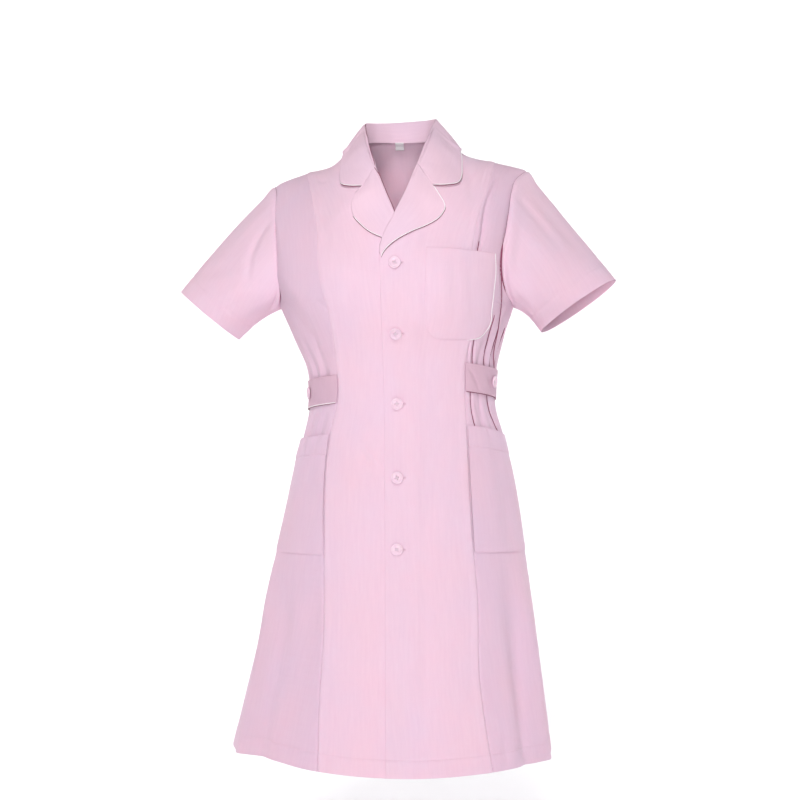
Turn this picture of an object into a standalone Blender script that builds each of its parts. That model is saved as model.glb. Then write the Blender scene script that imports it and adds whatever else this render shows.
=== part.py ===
"""A short-sleeved nurse uniform dress, worn shape with no wearer, as separate sewn pieces of cloth.

Units are metres. +X is the wearer's left, the front faces -Y and +Z is up. The origin is the middle of
the neck, level with the top of the shoulders, where the wearer holds the dress up.

The body is one smooth surface, body(a, v). a goes round it: 0 is the centre front, 1 and -1 are the side
seams and 2 is the centre back. v goes up it: 0 is the hem, 1 the underarm, 2 the start of the shoulder's
curve and 3 the shoulder ridge. Every piece is a wall that lies on this surface or starts from it.
"""

import math

import bmesh
import bpy
import mathutils
import numpy as np

# ---- driving dimensions ----
CLOTH = 0.002  # thickness of one sewn layer
GAP = 0.0003  # between two pieces at a seam
LAID_GAP = 0.0008  # under a piece that lies on a panel
NECK_GAP = 0.0018  # between the collar's stand and the neck edge, whose rows differ
NECK_DROP = 0.014  # how far the back's neck edge stays below the seam, in levels
HEM_Z = -0.960
UNDERARM_Z = -0.252
SHOULDER_CURVE = 0.12  # height of the rounded part under the shoulder ridge
SQUARENESS = 2.25  # 2 is an ellipse, more is a squarer section
TAB_HEIGHT = 0.044

# Level sections of the body: height, reach to the wearer's right and left, to the front and to the back.
SECTIONS = np.array(
    [
        # z, right, left, front, back
        (-0.970, 0.267, 0.240, 0.174, 0.174),
        (-0.888, 0.248, 0.230, 0.160, 0.162),
        (-0.760, 0.219, 0.214, 0.145, 0.149),
        (-0.632, 0.193, 0.196, 0.131, 0.136),
        (-0.568, 0.179, 0.187, 0.124, 0.128),
        (-0.504, 0.165, 0.175, 0.116, 0.118),
        (-0.456, 0.152, 0.163, 0.110, 0.108),
        (-0.408, 0.142, 0.150, 0.106, 0.100),
        (-0.376, 0.142, 0.150, 0.106, 0.098),
        (-0.344, 0.148, 0.153, 0.110, 0.099),
        (-0.310, 0.163, 0.161, 0.118, 0.103),
        (-0.285, 0.174, 0.168, 0.126, 0.107),
        (-0.252, 0.189, 0.179, 0.132, 0.111),
        (-0.200, 0.202, 0.187, 0.133, 0.114),
        (-0.150, 0.209, 0.193, 0.122, 0.114),
        (-0.100, 0.212, 0.198, 0.106, 0.110),
        (-0.050, 0.212, 0.203, 0.089, 0.098),
        (0.020, 0.212, 0.206, 0.075, 0.086),
    ]
)

# How far the hem hangs above or below its level, round the body.
HEM_HANG = np.array(
    [
        # a, rise
        (-1.00, 0.0125),
        (-0.75, 0.0125),
        (-0.50, 0.0150),
        (-0.28, 0.0060),
        (0.00, -0.0005),
        (0.34, 0.0030),
        (0.55, 0.0055),
        (0.80, 0.0055),
        (1.00, 0.0055),
        (1.50, 0.0035),
        (2.00, 0.0000),
        (2.50, 0.0060),
        (3.00, 0.0125),
    ]
)
HEM_HANG_REACH = 0.30  # the share of the way up to the underarm that it reaches

# The shoulder ridge from one side to the other.
RIDGE = np.array(
    [
        # x, z
        (-0.240, -0.082),
        (-0.200, -0.058),
        (-0.150, -0.038),
        (-0.100, -0.0215),
        (-0.080, -0.002),
        (-0.060, 0.018),
        (-0.030, 0.038),
        (0.000, 0.045),
        (0.030, 0.041),
        (0.060, 0.024),
        (0.080, 0.006),
        (0.100, -0.009),
        (0.150, -0.0235),
        (0.200, -0.037),
        (0.240, -0.052),
    ]
)

# The inner edge of each front: placket edge, then the lapel's roll line, then the neck seam.
FRONT_EDGE = {
    "left": np.array(
        [
            # z, x
            (-0.960, -0.010),
            (-0.600, -0.014),
            (-0.200, -0.021),
            (-0.178, -0.0215),
            (-0.155, -0.0165),
            (-0.128, -0.0032),
            (-0.099, 0.0088),
            (-0.070, 0.0212),
            (-0.038, 0.0335),
            (-0.020, 0.043),
            (0.000, 0.055),
            (0.021, 0.066),
        ]
    ),
    "right": np.array(
        [
            # z, x
            (-0.960, 0.024),
            (-0.600, 0.023),
            (-0.200, 0.022),
            (-0.172, 0.0195),
            (-0.155, 0.0155),
            (-0.128, 0.0032),
            (-0.099, -0.0088),
            (-0.070, -0.0212),
            (-0.041, -0.0325),
            (-0.024, -0.041),
            (-0.006, -0.053),
            (0.012, -0.066),
        ]
    ),
}

# The princess seams between centre front and side front.
PRINCESS = {
    "left": np.array(
        [
            # z, x
            (-0.960, 0.1485),
            (-0.893, 0.138),
            (-0.835, 0.130),
            (-0.694, 0.125),
            (-0.633, 0.1195),
            (-0.440, 0.108),
            (-0.386, 0.105),
            (-0.342, 0.1055),
            (-0.300, 0.115),
            (-0.164, 0.118),
            (-0.112, 0.128),
            (-0.070, 0.141),
            (-0.020, 0.152),
        ]
    ),
    "right": np.array(
        [
            # z, x
            (-0.960, -0.1115),
            (-0.874, -0.112),
            (-0.747, -0.1075),
            (-0.637, -0.108),
            (-0.453, -0.101),
            (-0.403, -0.090),
            (-0.322, -0.093),
            (-0.267, -0.101),
            (-0.219, -0.113),
            (-0.137, -0.121),
            (-0.090, -0.131),
            (-0.036, -0.148),
        ]
    ),
}

# The armhole seams, from underarm to shoulder tip, on the front and on the back.
ARMHOLE = {
    "left": np.array(
        [
            # z, front x, back x
            (-0.252, 0.1790, 0.1790),
            (-0.247, 0.1765, 0.1775),
            (-0.240, 0.1710, 0.1760),
            (-0.225, 0.1645, 0.1735),
            (-0.205, 0.1610, 0.1730),
            (-0.173, 0.1615, 0.1740),
            (-0.138, 0.1680, 0.1760),
            (-0.104, 0.1730, 0.1790),
            (-0.074, 0.1770, 0.1830),
            (-0.053, 0.1840, 0.1890),
            (-0.037, 0.2000, 0.2000),
        ]
    ),
    "right": np.array(
        [
            # z, front x, back x
            (-0.252, -0.1890, -0.1890),
            (-0.247, -0.1875, -0.1880),
            (-0.240, -0.1850, -0.1865),
            (-0.225, -0.1840, -0.1855),
            (-0.205, -0.1845, -0.1855),
            (-0.173, -0.1870, -0.1875),
            (-0.138, -0.1905, -0.1890),
            (-0.104, -0.1935, -0.1915),
            (-0.084, -0.1945, -0.1935),
            (-0.070, -0.1955, -0.1955),
            (-0.058, -0.2000, -0.2000),
        ]
    ),
}

# The back neck seam.
BACK_NECK_HALF = 0.066
BACK_NECK_Z = 0.022

# Where each sleeve ends: the middle of the cuff, its width along the slant and its depth front to back,
# how far the slant leans from level, how far the back of the cuff reaches past its front, and how far the
# sleeve's upper side rises on its way there.
CUFF = {
    "left": dict(
        middle=(0.284, 0.004, -0.251), width=0.142, depth=0.086, slant=34.5, open=0.014, rise=0.000
    ),
    "right": dict(
        middle=(-0.308, 0.004, -0.264), width=0.120, depth=0.096, slant=39.5, open=0.003, rise=0.006
    ),
}

# Half the collar from the centre back to the end of its front edge. Neck and edge points lie on the
# body at (x, z), on the face named last. The fold stands free. The other half mirrors it.
COLLAR = (
    # neck x, neck z, fold x, fold y, fold z, edge x, edge z, bulge, face
    (0.0000, 0.0220, 0.0000, 0.0600, 0.0545, 0.0000, -0.0220, 0.004, "back"),
    (0.0195, 0.0218, 0.0210, 0.0580, 0.0543, 0.0350, -0.0215, 0.004, "back"),
    (0.0427, 0.0212, 0.0420, 0.0480, 0.0530, 0.0640, -0.0200, 0.004, "back"),
    (0.0590, 0.0200, 0.0545, 0.0300, 0.0506, 0.0850, -0.0180, 0.003, "back"),
    (0.0645, 0.0190, 0.0570, 0.0190, 0.0482, 0.0915, -0.0130, 0.002, "back"),
    (0.0660, 0.0400, 0.0580, 0.0080, 0.0446, 0.0930, 0.0400, 0.001, "front"),
    (0.0640, 0.0150, 0.0568, -0.0010, 0.0400, 0.0945, -0.0140, 0.001, "front"),
    (0.0615, 0.0090, 0.0550, -0.0100, 0.0345, 0.0972, -0.0270, 0.001, "front"),
    (0.0560, 0.0000, 0.0510, -0.0290, 0.0207, 0.0982, -0.0430, 0.002, "front"),
    (0.0505, -0.0100, 0.0475, -0.0450, 0.0065, 0.0982, -0.0572, 0.002, "front"),
    (0.0450, -0.0190, 0.0435, -0.0600, -0.0070, 0.0932, -0.0682, 0.002, "front"),
    (0.0390, -0.0290, 0.0388, -0.0725, -0.0225, 0.0785, -0.0722, 0.002, "front"),
    (0.0335, -0.0385, 0.0335, -0.0835, -0.0385, 0.0563, -0.0733, 0.001, "front"),
)
COLLAR_LEAN = 0.05  # the collar tilts with the shoulders: rise for each metre to the wearer's left
COLLAR_EDGE_LEAN = 0.004  # the same for its outer edge
COLLAR_FOLD_RADIUS = 0.0022

# Each lapel from the gorge down to where the front closes: its roll line and its outer edge, at (x, z).
LAPEL = {
    "left": (
        # roll x, roll z, edge x, edge z
        (0.0335, -0.0392, 0.0563, -0.0746),
        (0.0280, -0.0525, 0.0656, -0.0885),
        (0.0212, -0.0700, 0.0740, -0.1020),
        (0.0150, -0.0850, 0.0745, -0.1120),
        (0.0088, -0.0990, 0.0645, -0.1262),
        (0.0022, -0.1150, 0.0461, -0.1374),
        (-0.0032, -0.1280, 0.0240, -0.1480),
        (-0.0110, -0.1410, 0.0050, -0.1585),
        (-0.0165, -0.1550, -0.0089, -0.1695),
        (-0.0205, -0.1690, -0.0165, -0.1790),
        (-0.0212, -0.1800, -0.0190, -0.1855),
    ),
    "right": (
        # roll x, roll z, edge x, edge z
        (-0.0326, -0.0445, -0.0480, -0.0757),
        (-0.0280, -0.0535, -0.0605, -0.0880),
        (-0.0212, -0.0700, -0.0665, -0.0985),
        (-0.0150, -0.0850, -0.0665, -0.1090),
        (-0.0088, -0.0990, -0.0633, -0.1200),
        (-0.0022, -0.1150, -0.0520, -0.1330),
        (0.0032, -0.1280, -0.0380, -0.1450),
        (0.0100, -0.1410, -0.0180, -0.1550),
    ),
}

# Patch pockets: the wall's corners at (x, z). The chest pocket's outer side is drawn in towards the bottom.
CHEST_POCKET = dict(inner=0.048, top=-0.170, top_fall=0.006, bottom=-0.308, round=0.022)
CHEST_POCKET_OUTER = np.array(
    [
        # z, x
        (-0.3080, 0.1080),
        (-0.3060, 0.1200),
        (-0.3010, 0.1300),
        (-0.2925, 0.1378),
        (-0.2565, 0.1458),
        (-0.2270, 0.1490),
        (-0.2010, 0.1515),
        (-0.1700, 0.1510),
    ]
)
LOWER_POCKET = {
    "left": dict(top=-0.439, top_fall=0.019, bottom=-0.632, bottom_fall=0.006),
    "right": dict(top=-0.453, top_fall=0.013, bottom=-0.637, bottom_fall=0.003),
}
POCKET_MOUTH_STANDS = 0.004  # how far a pocket's mouth stands off the panel

# Waist tabs: height of the upper edge at the princess seam, how far it falls towards its end, and where
# round the body the end and the button are.
TAB = {
    "left": dict(top=-0.342, fall=0.014, end=1.16, button=0.82),
    "right": dict(top=-0.360, fall=0.014, end=1.16, button=0.83),
}

TAB_BUTTON_SHARE = 0.5  # the share of a tab's length at which its button sits

# Front buttons, at (x, z).
FRONT_BUTTONS = (
    (0.0015, -0.1935),
    (0.0020, -0.2985),
    (0.0030, -0.4060),
    (0.0040, -0.5185),
    (0.0045, -0.6260),
)

# Soft folds that stand out from (or sink into) the body: round it from a to a_top, between two heights.
FOLDS = (
    # side, a at foot, z at foot, a at top, z at top, half width, height
    ("left", 0.600, -0.360, 0.620, -0.290, 0.040, -0.0050),
    ("left", 0.690, -0.362, 0.680, -0.300, 0.040, -0.0035),
    ("left", 0.800, -0.366, 0.780, -0.300, 0.040, -0.0040),
    ("left", 0.905, -0.368, 0.890, -0.310, 0.040, -0.0030),
    ("left", 0.630, -0.450, 0.600, -0.392, 0.040, -0.0040),
    ("left", 0.750, -0.450, 0.730, -0.396, 0.040, -0.0030),
    ("left", 0.880, -0.455, 0.860, -0.398, 0.040, -0.0040),
    ("right", 0.520, -0.376, 0.540, -0.300, 0.042, -0.0030),
    ("right", 0.660, -0.380, 0.670, -0.310, 0.042, -0.0040),
    ("right", 0.820, -0.384, 0.800, -0.320, 0.042, -0.0035),
    ("right", 0.560, -0.470, 0.540, -0.408, 0.042, -0.0030),
    ("right", 0.740, -0.470, 0.720, -0.412, 0.042, -0.0035),
    ("right", 0.880, -0.474, 0.860, -0.414, 0.042, -0.0030),
    ("left", 0.800, -0.960, 0.770, -0.660, 0.060, 0.0080),
    ("left", 0.620, -0.960, 0.660, -0.700, 0.045, -0.0050),
    ("right", 0.700, -0.960, 0.800, -0.600, 0.060, 0.0080),
    ("right", 0.540, -0.960, 0.560, -0.720, 0.045, -0.0050),
    ("left", 1.300, -0.960, 1.220, -0.480, 0.070, 0.0090),
    ("right", 1.280, -0.960, 1.220, -0.500, 0.070, 0.0090),
    ("left", 1.620, -0.960, 1.560, -0.520, 0.080, 0.0070),
    ("right", 1.640, -0.960, 1.560, -0.500, 0.080, 0.0070),
    ("left", 1.140, -0.960, 1.110, -0.640, 0.050, -0.0060),
    ("right", 1.130, -0.960, 1.110, -0.660, 0.050, -0.0060),
    ("left", 1.460, -0.960, 1.400, -0.600, 0.060, -0.0060),
    ("right", 1.460, -0.960, 1.400, -0.600, 0.060, -0.0060),
)

# Bust fullness that the princess seams shape.
BUST_X, BUST_Z, BUST_WIDE, BUST_TALL, BUST_OUT = 0.085, -0.215, 0.055, 0.065, 0.009

# A button's turned outline, from the middle of its back round to the middle of its dished face.
BUTTON_OUTLINE = (
    # radius, height
    (0.0000, 0.0000),
    (0.0080, 0.0000),
    (0.0098, 0.0010),
    (0.0098, 0.0020),
    (0.0090, 0.0030),
    (0.0076, 0.0030),
    (0.0064, 0.0021),
    (0.0000, 0.0019),
)
BUTTON_SIDES = 16
BUTTON_CLEAR = 0.0006  # between a button and the cloth under it

# The bare label inside the back neck.
LABEL = dict(middle=-0.0045, half_width=0.0070, top=0.0212, bottom=0.0098, thick=0.001, clear=0.0018)

SLEEVE_RINGS = 8
SLEEVE_FULLNESS = 0.010
UNDERARM_TUCK = 0.007  # how far the sleeve's underside is drawn up between armhole and cuff
COLLAR_EDGE_STANDS = 0.0020  # how far the collar's outer edge stands off the body
COLLAR_CLEAR = CLOTH * 1.5 + LAID_GAP + 0.0016  # least height of the fall's middle over the body
COLLAR_RIGHT_WIDTH = 0.885  # the right half reaches less far out than the left
COLLAR_FALL_POINTS = 5
LAPEL_COLUMNS = 6
LAPEL_GAP = 0.0010
LAPEL_SPRING = 0.004  # how far a lapel bows off the front between its roll and its edge

# ---- rows that all the body's pieces share, so that their seams match ----
FRONT_COLUMNS = 9
SIDE_COLUMNS = 10
BACK_COLUMNS = 20
CLOSER_AT_CENTRE = 1.3  # over 1, the back's columns are closer together at its centre
SKIRT_ROWS = 11
WAIST_ROWS = 10
WAIST_LOW_Z = -0.460
UPPER_LEVELS = (1.04, 1.10, 1.20, 1.35, 1.55, 1.78, 2.0, 2.18, 2.36, 2.54, 2.70, 2.85, 3.0)

# ---- colours, linear ----
PINK = (0.86, 0.62, 0.73)
PINK_SHADED = (0.78, 0.53, 0.64)
PINK_COLLAR = (0.84, 0.58, 0.69)
SHELL_WHITE = (0.90, 0.78, 0.82)
LABEL_WHITE = (0.92, 0.91, 0.92)


# ---------------------------------------------------------------- curves and the body surface


def smooth(table_x, table_y, x):
    """A smooth curve through the table's points, read at x."""
    table_x = np.asarray(table_x, float)
    table_y = np.asarray(table_y, float)
    x = np.clip(np.asarray(x, float), table_x[0], table_x[-1])
    steps = np.diff(table_x)
    slopes = np.diff(table_y) / steps
    tangents = np.empty_like(table_y)
    tangents[0], tangents[-1] = slopes[0], slopes[-1]
    tangents[1:-1] = (slopes[:-1] * steps[1:] + slopes[1:] * steps[:-1]) / (steps[:-1] + steps[1:])
    i = np.clip(np.searchsorted(table_x, x, side="right") - 1, 0, len(steps) - 1)
    t = (x - table_x[i]) / steps[i]
    return (
        (1 + 2 * t) * (1 - t) ** 2 * table_y[i]
        + t * (1 - t) ** 2 * steps[i] * tangents[i]
        + t * t * (3 - 2 * t) * table_y[i + 1]
        + t * t * (t - 1) * steps[i] * tangents[i + 1]
    )


def ease(x, low, high):
    """0 below low, 1 above high, and smooth between."""
    t = np.clip((np.asarray(x, float) - low) / (high - low), 0, 1)
    return t * t * (3 - 2 * t)


def ridge(x):
    return smooth(RIDGE[:, 0], RIDGE[:, 1], x)


def height(x, v):
    """The height of the body surface's level v at x."""
    top = ridge(x)
    start = top - SHOULDER_CURVE
    skirt = HEM_Z + (UNDERARM_Z - HEM_Z) * v
    chest = UNDERARM_Z + (start - UNDERARM_Z) * (v - 1)
    shoulder = start + SHOULDER_CURVE * np.sin((v - 2) * math.pi / 2)
    return np.where(v <= 1, skirt, np.where(v <= 2, chest, shoulder))


def level(x, z):
    """The level v of the body surface at (x, z)."""
    start = ridge(x) - SHOULDER_CURVE
    skirt = (z - HEM_Z) / (UNDERARM_Z - HEM_Z)
    chest = 1 + (z - UNDERARM_Z) / (start - UNDERARM_Z)
    shoulder = 2 + np.arcsin(np.clip((z - start) / SHOULDER_CURVE, 0, 1)) * 2 / math.pi
    return np.where(z <= UNDERARM_Z, skirt, np.where(z <= start, chest, shoulder))


def reaches(v):
    """How far level v reaches to the wearer's right and to the left."""
    middle_of_shoulder = np.full(np.shape(v), 0.1)
    z = height(middle_of_shoulder, np.minimum(v, 3.0))
    return smooth(SECTIONS[:, 0], SECTIONS[:, 1], z), smooth(SECTIONS[:, 0], SECTIONS[:, 2], z)


def folds(a, z):
    """How far the folds move the surface out, at a round the body and height z."""
    out = np.zeros(np.broadcast(a, z).shape)
    around = np.where(a > 2, a - 4, a)
    for side, a_foot, z_foot, a_top, z_top, half_width, rise in FOLDS:
        sign = 1 if side == "left" else -1
        t = (z - z_foot) / (z_top - z_foot)
        middle = sign * (a_foot + (a_top - a_foot) * np.clip(t, 0, 1))
        at_hem = z_foot <= HEM_Z
        along = ease(t, 1.25, 0.45) * (1.0 if at_hem else ease(t, -0.3, 0.2))
        out = out + rise * along * np.exp(-(((around - middle) / half_width) ** 2))
    return out


def body(a, v, folded=True):
    """Points of the body surface, shaped (..., 3), with its folds or without them."""
    a, v = np.broadcast_arrays(np.asarray(a, float), np.asarray(v, float))
    reach_right, reach_left = reaches(v)
    across, ahead = np.sin(a * math.pi / 2), np.cos(a * math.pi / 2)
    across = np.sign(across) * np.abs(across) ** (2 / SQUARENESS)
    ahead = np.sign(ahead) * np.abs(ahead) ** (2 / SQUARENESS)
    x = across * np.where(across > 0, reach_left, reach_right)
    z = height(x, v)
    reach_front = smooth(SECTIONS[:, 0], SECTIONS[:, 3], z)
    reach_back = smooth(SECTIONS[:, 0], SECTIONS[:, 4], z)
    bust = BUST_OUT * np.exp(
        -(((np.abs(x) - BUST_X) / BUST_WIDE) ** 2) - ((z - BUST_Z) / BUST_TALL) ** 2
    )
    out = folds(a, z) if folded else np.zeros_like(z)
    y = -ahead * np.where(ahead > 0, reach_front + bust, reach_back)
    y = y * np.where(v > 2, np.cos((v - 2) * math.pi / 2), 1.0)
    z = z + smooth(HEM_HANG[:, 0], HEM_HANG[:, 1], a) * ease(v, HEM_HANG_REACH, 0.0)
    length = np.maximum(np.hypot(across, ahead), 1e-6)
    return np.stack([x + out * across / length, y - out * ahead / length, z], axis=-1)


def normal(a, v, folded=True):
    """The unit vector out of the body surface."""
    step = 0.012
    a, v = np.broadcast_arrays(np.asarray(a, float), np.asarray(v, float))
    low, high = np.maximum(v - step, 0), np.minimum(v + step, 3)
    round_body = body(a + step, v, folded) - body(a - step, v, folded)
    up = body(a, high, folded) - body(a, low, folded)
    out = np.cross(round_body, up)
    return out / np.linalg.norm(out, axis=-1, keepdims=True)


def on_body(a, v, out=0.0, folded=True):
    """Body points moved out along the surface's normal."""
    return body(a, v, folded) + normal(a, v, folded) * np.asarray(out, float)[..., None]


def around_at(x, v, back=False):
    """The a of the body surface where it crosses x on level v."""
    reach_right, reach_left = reaches(v)
    share = np.clip(np.abs(x) / np.where(x > 0, reach_left, reach_right), 0, 1)
    a = np.sign(x) * np.arcsin(share ** (SQUARENESS / 2)) * 2 / math.pi
    return np.where(a >= 0, 2 - a, -2 - a) if back else a


def place(x, z, back=False):
    """(a, v) of the body surface at (x, z)."""
    x, z = np.asarray(x, float), np.asarray(z, float)
    v = level(x, z)
    return around_at(x, v, back), v


def seam_x(table, column, v):
    """x of a seam, given as rows of z and x, where it crosses level v."""
    x = np.full(np.shape(v), table[-1, column])
    for _ in range(12):
        x = 0.5 * x + 0.5 * smooth(table[:, 0], table[:, column], height(x, v))
    return x


def levels():
    """The rows that the body's pieces share."""
    skirt = np.linspace(HEM_Z, WAIST_LOW_Z, SKIRT_ROWS, endpoint=False)
    waist = np.linspace(WAIST_LOW_Z, UNDERARM_Z, WAIST_ROWS + 1)
    lower = (np.concatenate([skirt, waist]) - HEM_Z) / (UNDERARM_Z - HEM_Z)
    return np.concatenate([lower, UPPER_LEVELS])


# ---------------------------------------------------------------- walls


def material(name, colour, roughness):
    made = bpy.data.materials.new(name)
    made.use_nodes = True
    shader = made.node_tree.nodes["Principled BSDF"]
    shader.inputs["Base Color"].default_value = (*colour, 1.0)
    shader.inputs["Roughness"].default_value = roughness
    shader.inputs["Metallic"].default_value = 0.0
    return made


def add_object(name, mesh_source, colour, roughness):
    """Puts a bmesh in the scene as a named object with its own material."""
    mesh = bpy.data.meshes.new(name)
    bmesh.ops.recalc_face_normals(mesh_source, faces=mesh_source.faces)
    mesh_source.to_mesh(mesh)
    mesh_source.free()
    mesh.materials.append(material(name, colour, roughness))
    mesh.shade_smooth()
    mesh.set_sharp_from_angle(angle=math.radians(50))
    made = bpy.data.objects.new(name, mesh)
    bpy.context.scene.collection.objects.link(made)
    return made


def wall(name, inside, outside, colour, roughness=0.85, closed=False):
    """A closed wall between two grids of points, shaped (rows, columns, 3). closed joins the last column
    to the first, as round a sleeve."""
    rows, columns = inside.shape[:2]
    shape = bmesh.new()
    faces_of = []
    for grid in (inside, outside):
        points = [shape.verts.new(point) for point in grid.reshape(-1, 3)]
        faces_of.append(np.array(points, dtype=object).reshape(rows, columns))
    last = columns if closed else columns - 1
    for i in range(rows - 1):
        for j in range(last):
            k = (j + 1) % columns
            for points, turn in ((faces_of[0], -1), (faces_of[1], 1)):
                corners = [points[i, j], points[i, k], points[i + 1, k], points[i + 1, j]]
                shape.faces.new(corners[::turn])
    inner, outer = faces_of
    for i in (0, rows - 1):
        for j in range(last):
            k = (j + 1) % columns
            shape.faces.new([inner[i, j], inner[i, k], outer[i, k], outer[i, j]])
    if not closed:
        for j in (0, columns - 1):
            for i in range(rows - 1):
                shape.faces.new([inner[i, j], inner[i + 1, j], outer[i + 1, j], outer[i, j]])
    return add_object(name, shape, colour, roughness)


def metres_per_a(a, v):
    """How many metres one unit of a is, there on the body surface."""
    step = 0.01
    return np.linalg.norm(body(a + step, v) - body(a - step, v), axis=-1) / (2 * step)


def panel(name, start, end, v, columns, lift, colour):
    """A panel of the body between two seams: start and end give a at each level of v."""
    start = start + GAP / 2 / metres_per_a(start, v)
    end = end - GAP / 2 / metres_per_a(end, v)
    share = np.linspace(0, 1, columns + 1)
    a = start[:, None] + (end - start)[:, None] * share
    rows = np.repeat(v[:, None], columns + 1, axis=1)
    base = on_body(a, rows, lift(a, rows))
    return wall(name, base, base + normal(a, rows) * CLOTH, colour)


def shoulder_gap(v):
    """Levels with the last one drawn back from the shoulder ridge by half a seam's gap."""
    v = v.copy()
    v[-1] = 3 - GAP / 2 / (0.09 * math.pi / 2)
    return v


def no_lift(a, v):
    return np.zeros(np.shape(a))


def lap_lift(a, v):
    """How far the left front stands off, where it laps over the right front and its lapel."""
    points = body(a, v)
    x, z = points[..., 0], points[..., 2]
    over_front = ease(x, 0.060, 0.030) * ease(z, -0.080, -0.112)
    over_lapel = ease(z, -0.190, -0.168) * ease(z, -0.085, -0.108) * ease(x, 0.050, 0.020)
    return (CLOTH + LAID_GAP) * (over_front + over_lapel)


# ---------------------------------------------------------------- body pieces


def front(side):
    v = shoulder_gap(levels())
    edge = around_at(seam_x(FRONT_EDGE[side], 1, v), v)
    seam = around_at(seam_x(PRINCESS[side], 1, v), v)
    if side == "left":
        return panel("front_left", edge, seam, v, FRONT_COLUMNS, lap_lift, PINK)
    return panel("front_right", seam, edge, v, FRONT_COLUMNS, no_lift, PINK)


def armhole_a(side, v, column):
    """The a of the armhole seam at each level, or of the side seam below the underarm."""
    sign = 1.0 if side == "left" else -1.0
    back = column == 2
    around = around_at(seam_x(ARMHOLE[side], column, v), v, back)
    return np.where(v <= 1, sign, around)


def side_front(side):
    v = shoulder_gap(levels())
    princess = around_at(seam_x(PRINCESS[side], 1, v), v)
    outer = armhole_a(side, v, 1)
    if side == "left":
        return panel("side_front_left", princess, outer, v, SIDE_COLUMNS, no_lift, PINK_SHADED)
    return panel("side_front_right", outer, princess, v, SIDE_COLUMNS, no_lift, PINK_SHADED)


def back():
    """The back, with its neck edge along the top: its top rows run level with the neck seam."""
    v = shoulder_gap(levels())
    left = armhole_a("left", v, 2)
    right = armhole_a("right", v, 2) + 4
    left = left + GAP / 2 / metres_per_a(left, v)
    right = right - GAP / 2 / metres_per_a(right, v)
    share = np.linspace(0, 1, BACK_COLUMNS // 2 + 1) ** CLOSER_AT_CENTRE
    left_half = 2 + (left - 2)[:, None] * share[::-1]
    right_half = 2 + (right - 2)[:, None] * share[1:]
    a = np.concatenate([left_half, right_half], axis=1)
    rows = np.repeat(v[:, None], BACK_COLUMNS + 1, axis=1)
    x = body(a, rows)[..., 0]
    neck_top = level(x, back_neck_z(x)) - NECK_DROP
    limit = np.where(np.abs(x) < BACK_NECK_HALF, neck_top, rows)
    squeeze = ease(rows, 2.0, 3.0)
    rows = rows * (1 - squeeze) + np.minimum(rows, limit) * squeeze
    base = on_body(a, rows)
    return wall("back", base, base + normal(a, rows) * CLOTH, PINK_SHADED)


def back_neck_z(x):
    """Height of the back neck seam at x."""
    share = np.clip(np.abs(x) / BACK_NECK_HALF, 0, 1)
    return BACK_NECK_Z + (ridge(x) - BACK_NECK_Z) * share**3


def sleeve(side):
    """A tube from the armhole seam to the cuff."""
    sign = 1.0 if side == "left" else -1.0
    v = levels()
    v = v[v >= 1 - 1e-9]
    front_a, back_a = armhole_a(side, v, 1), armhole_a(side, v, 2)
    loop_a = np.concatenate([front_a, back_a[-2:0:-1]])
    loop_v = np.concatenate([v, v[-2:0:-1]])
    start = body(loop_a, loop_v)
    out = normal(loop_a, loop_v)
    along = np.roll(start, -1, axis=0) - np.roll(start, 1, axis=0)
    along /= np.linalg.norm(along, axis=1, keepdims=True)
    into_hole = np.cross(along, out) * sign
    start = start + into_hole * GAP

    lengths = np.linalg.norm(np.roll(start, -1, axis=0) - start, axis=1)
    share = np.concatenate([[0], np.cumsum(lengths)[:-1]]) / lengths.sum()
    top = len(v) - 1
    share = np.where(
        np.arange(len(share)) <= top,
        share / share[top] * 0.5,
        0.5 + (share - share[top]) / (1 - share[top]) * 0.5,
    )
    turn = share * 2 * math.pi
    cuff = CUFF[side]
    slant = math.radians(cuff["slant"])
    up = np.array([sign * math.cos(slant), 0.0, math.sin(slant)])
    axis = np.array([sign * math.sin(slant), 0.0, -math.cos(slant)])
    ahead = np.array([0.0, -1.0, 0.0]) - axis * cuff["open"] / cuff["depth"]
    end = (
        np.array(cuff["middle"])
        - np.cos(turn)[:, None] * up * cuff["width"] / 2
        + np.sin(turn)[:, None] * ahead * cuff["depth"] / 2
    )
    grid = []
    for w in np.linspace(0, 1, SLEEVE_RINGS + 1):
        ring = start * (1 - w) + end * w
        fullness = SLEEVE_FULLNESS * math.sin(math.pi * w) * np.abs(np.sin(turn))
        ring[:, 1] -= fullness * np.sign(np.sin(turn))
        ring[:, 2] += UNDERARM_TUCK * math.sin(math.pi * w) * np.maximum(np.cos(turn), 0) ** 2
        ring[:, 2] += cuff["rise"] * math.sin(math.pi * w) * np.maximum(-np.cos(turn), 0) ** 2
        grid.append(ring)
    grid = np.array(grid)
    round_sleeve = np.roll(grid, -1, axis=1) - np.roll(grid, 1, axis=1)
    down = np.gradient(grid, axis=0)
    away = np.cross(round_sleeve, down) * -sign
    away /= np.linalg.norm(away, axis=-1, keepdims=True)
    away[0] = out
    return wall(f"sleeve_{side}", grid, grid + away * CLOTH, PINK_COLLAR, closed=True)


# ---------------------------------------------------------------- collar and lapels


def unit(vectors):
    return vectors / np.linalg.norm(vectors, axis=-1, keepdims=True)


def across(vectors, line):
    """What is left of the vectors square to a line of unit vectors."""
    return vectors - (vectors * line).sum(axis=-1, keepdims=True) * line


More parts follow.
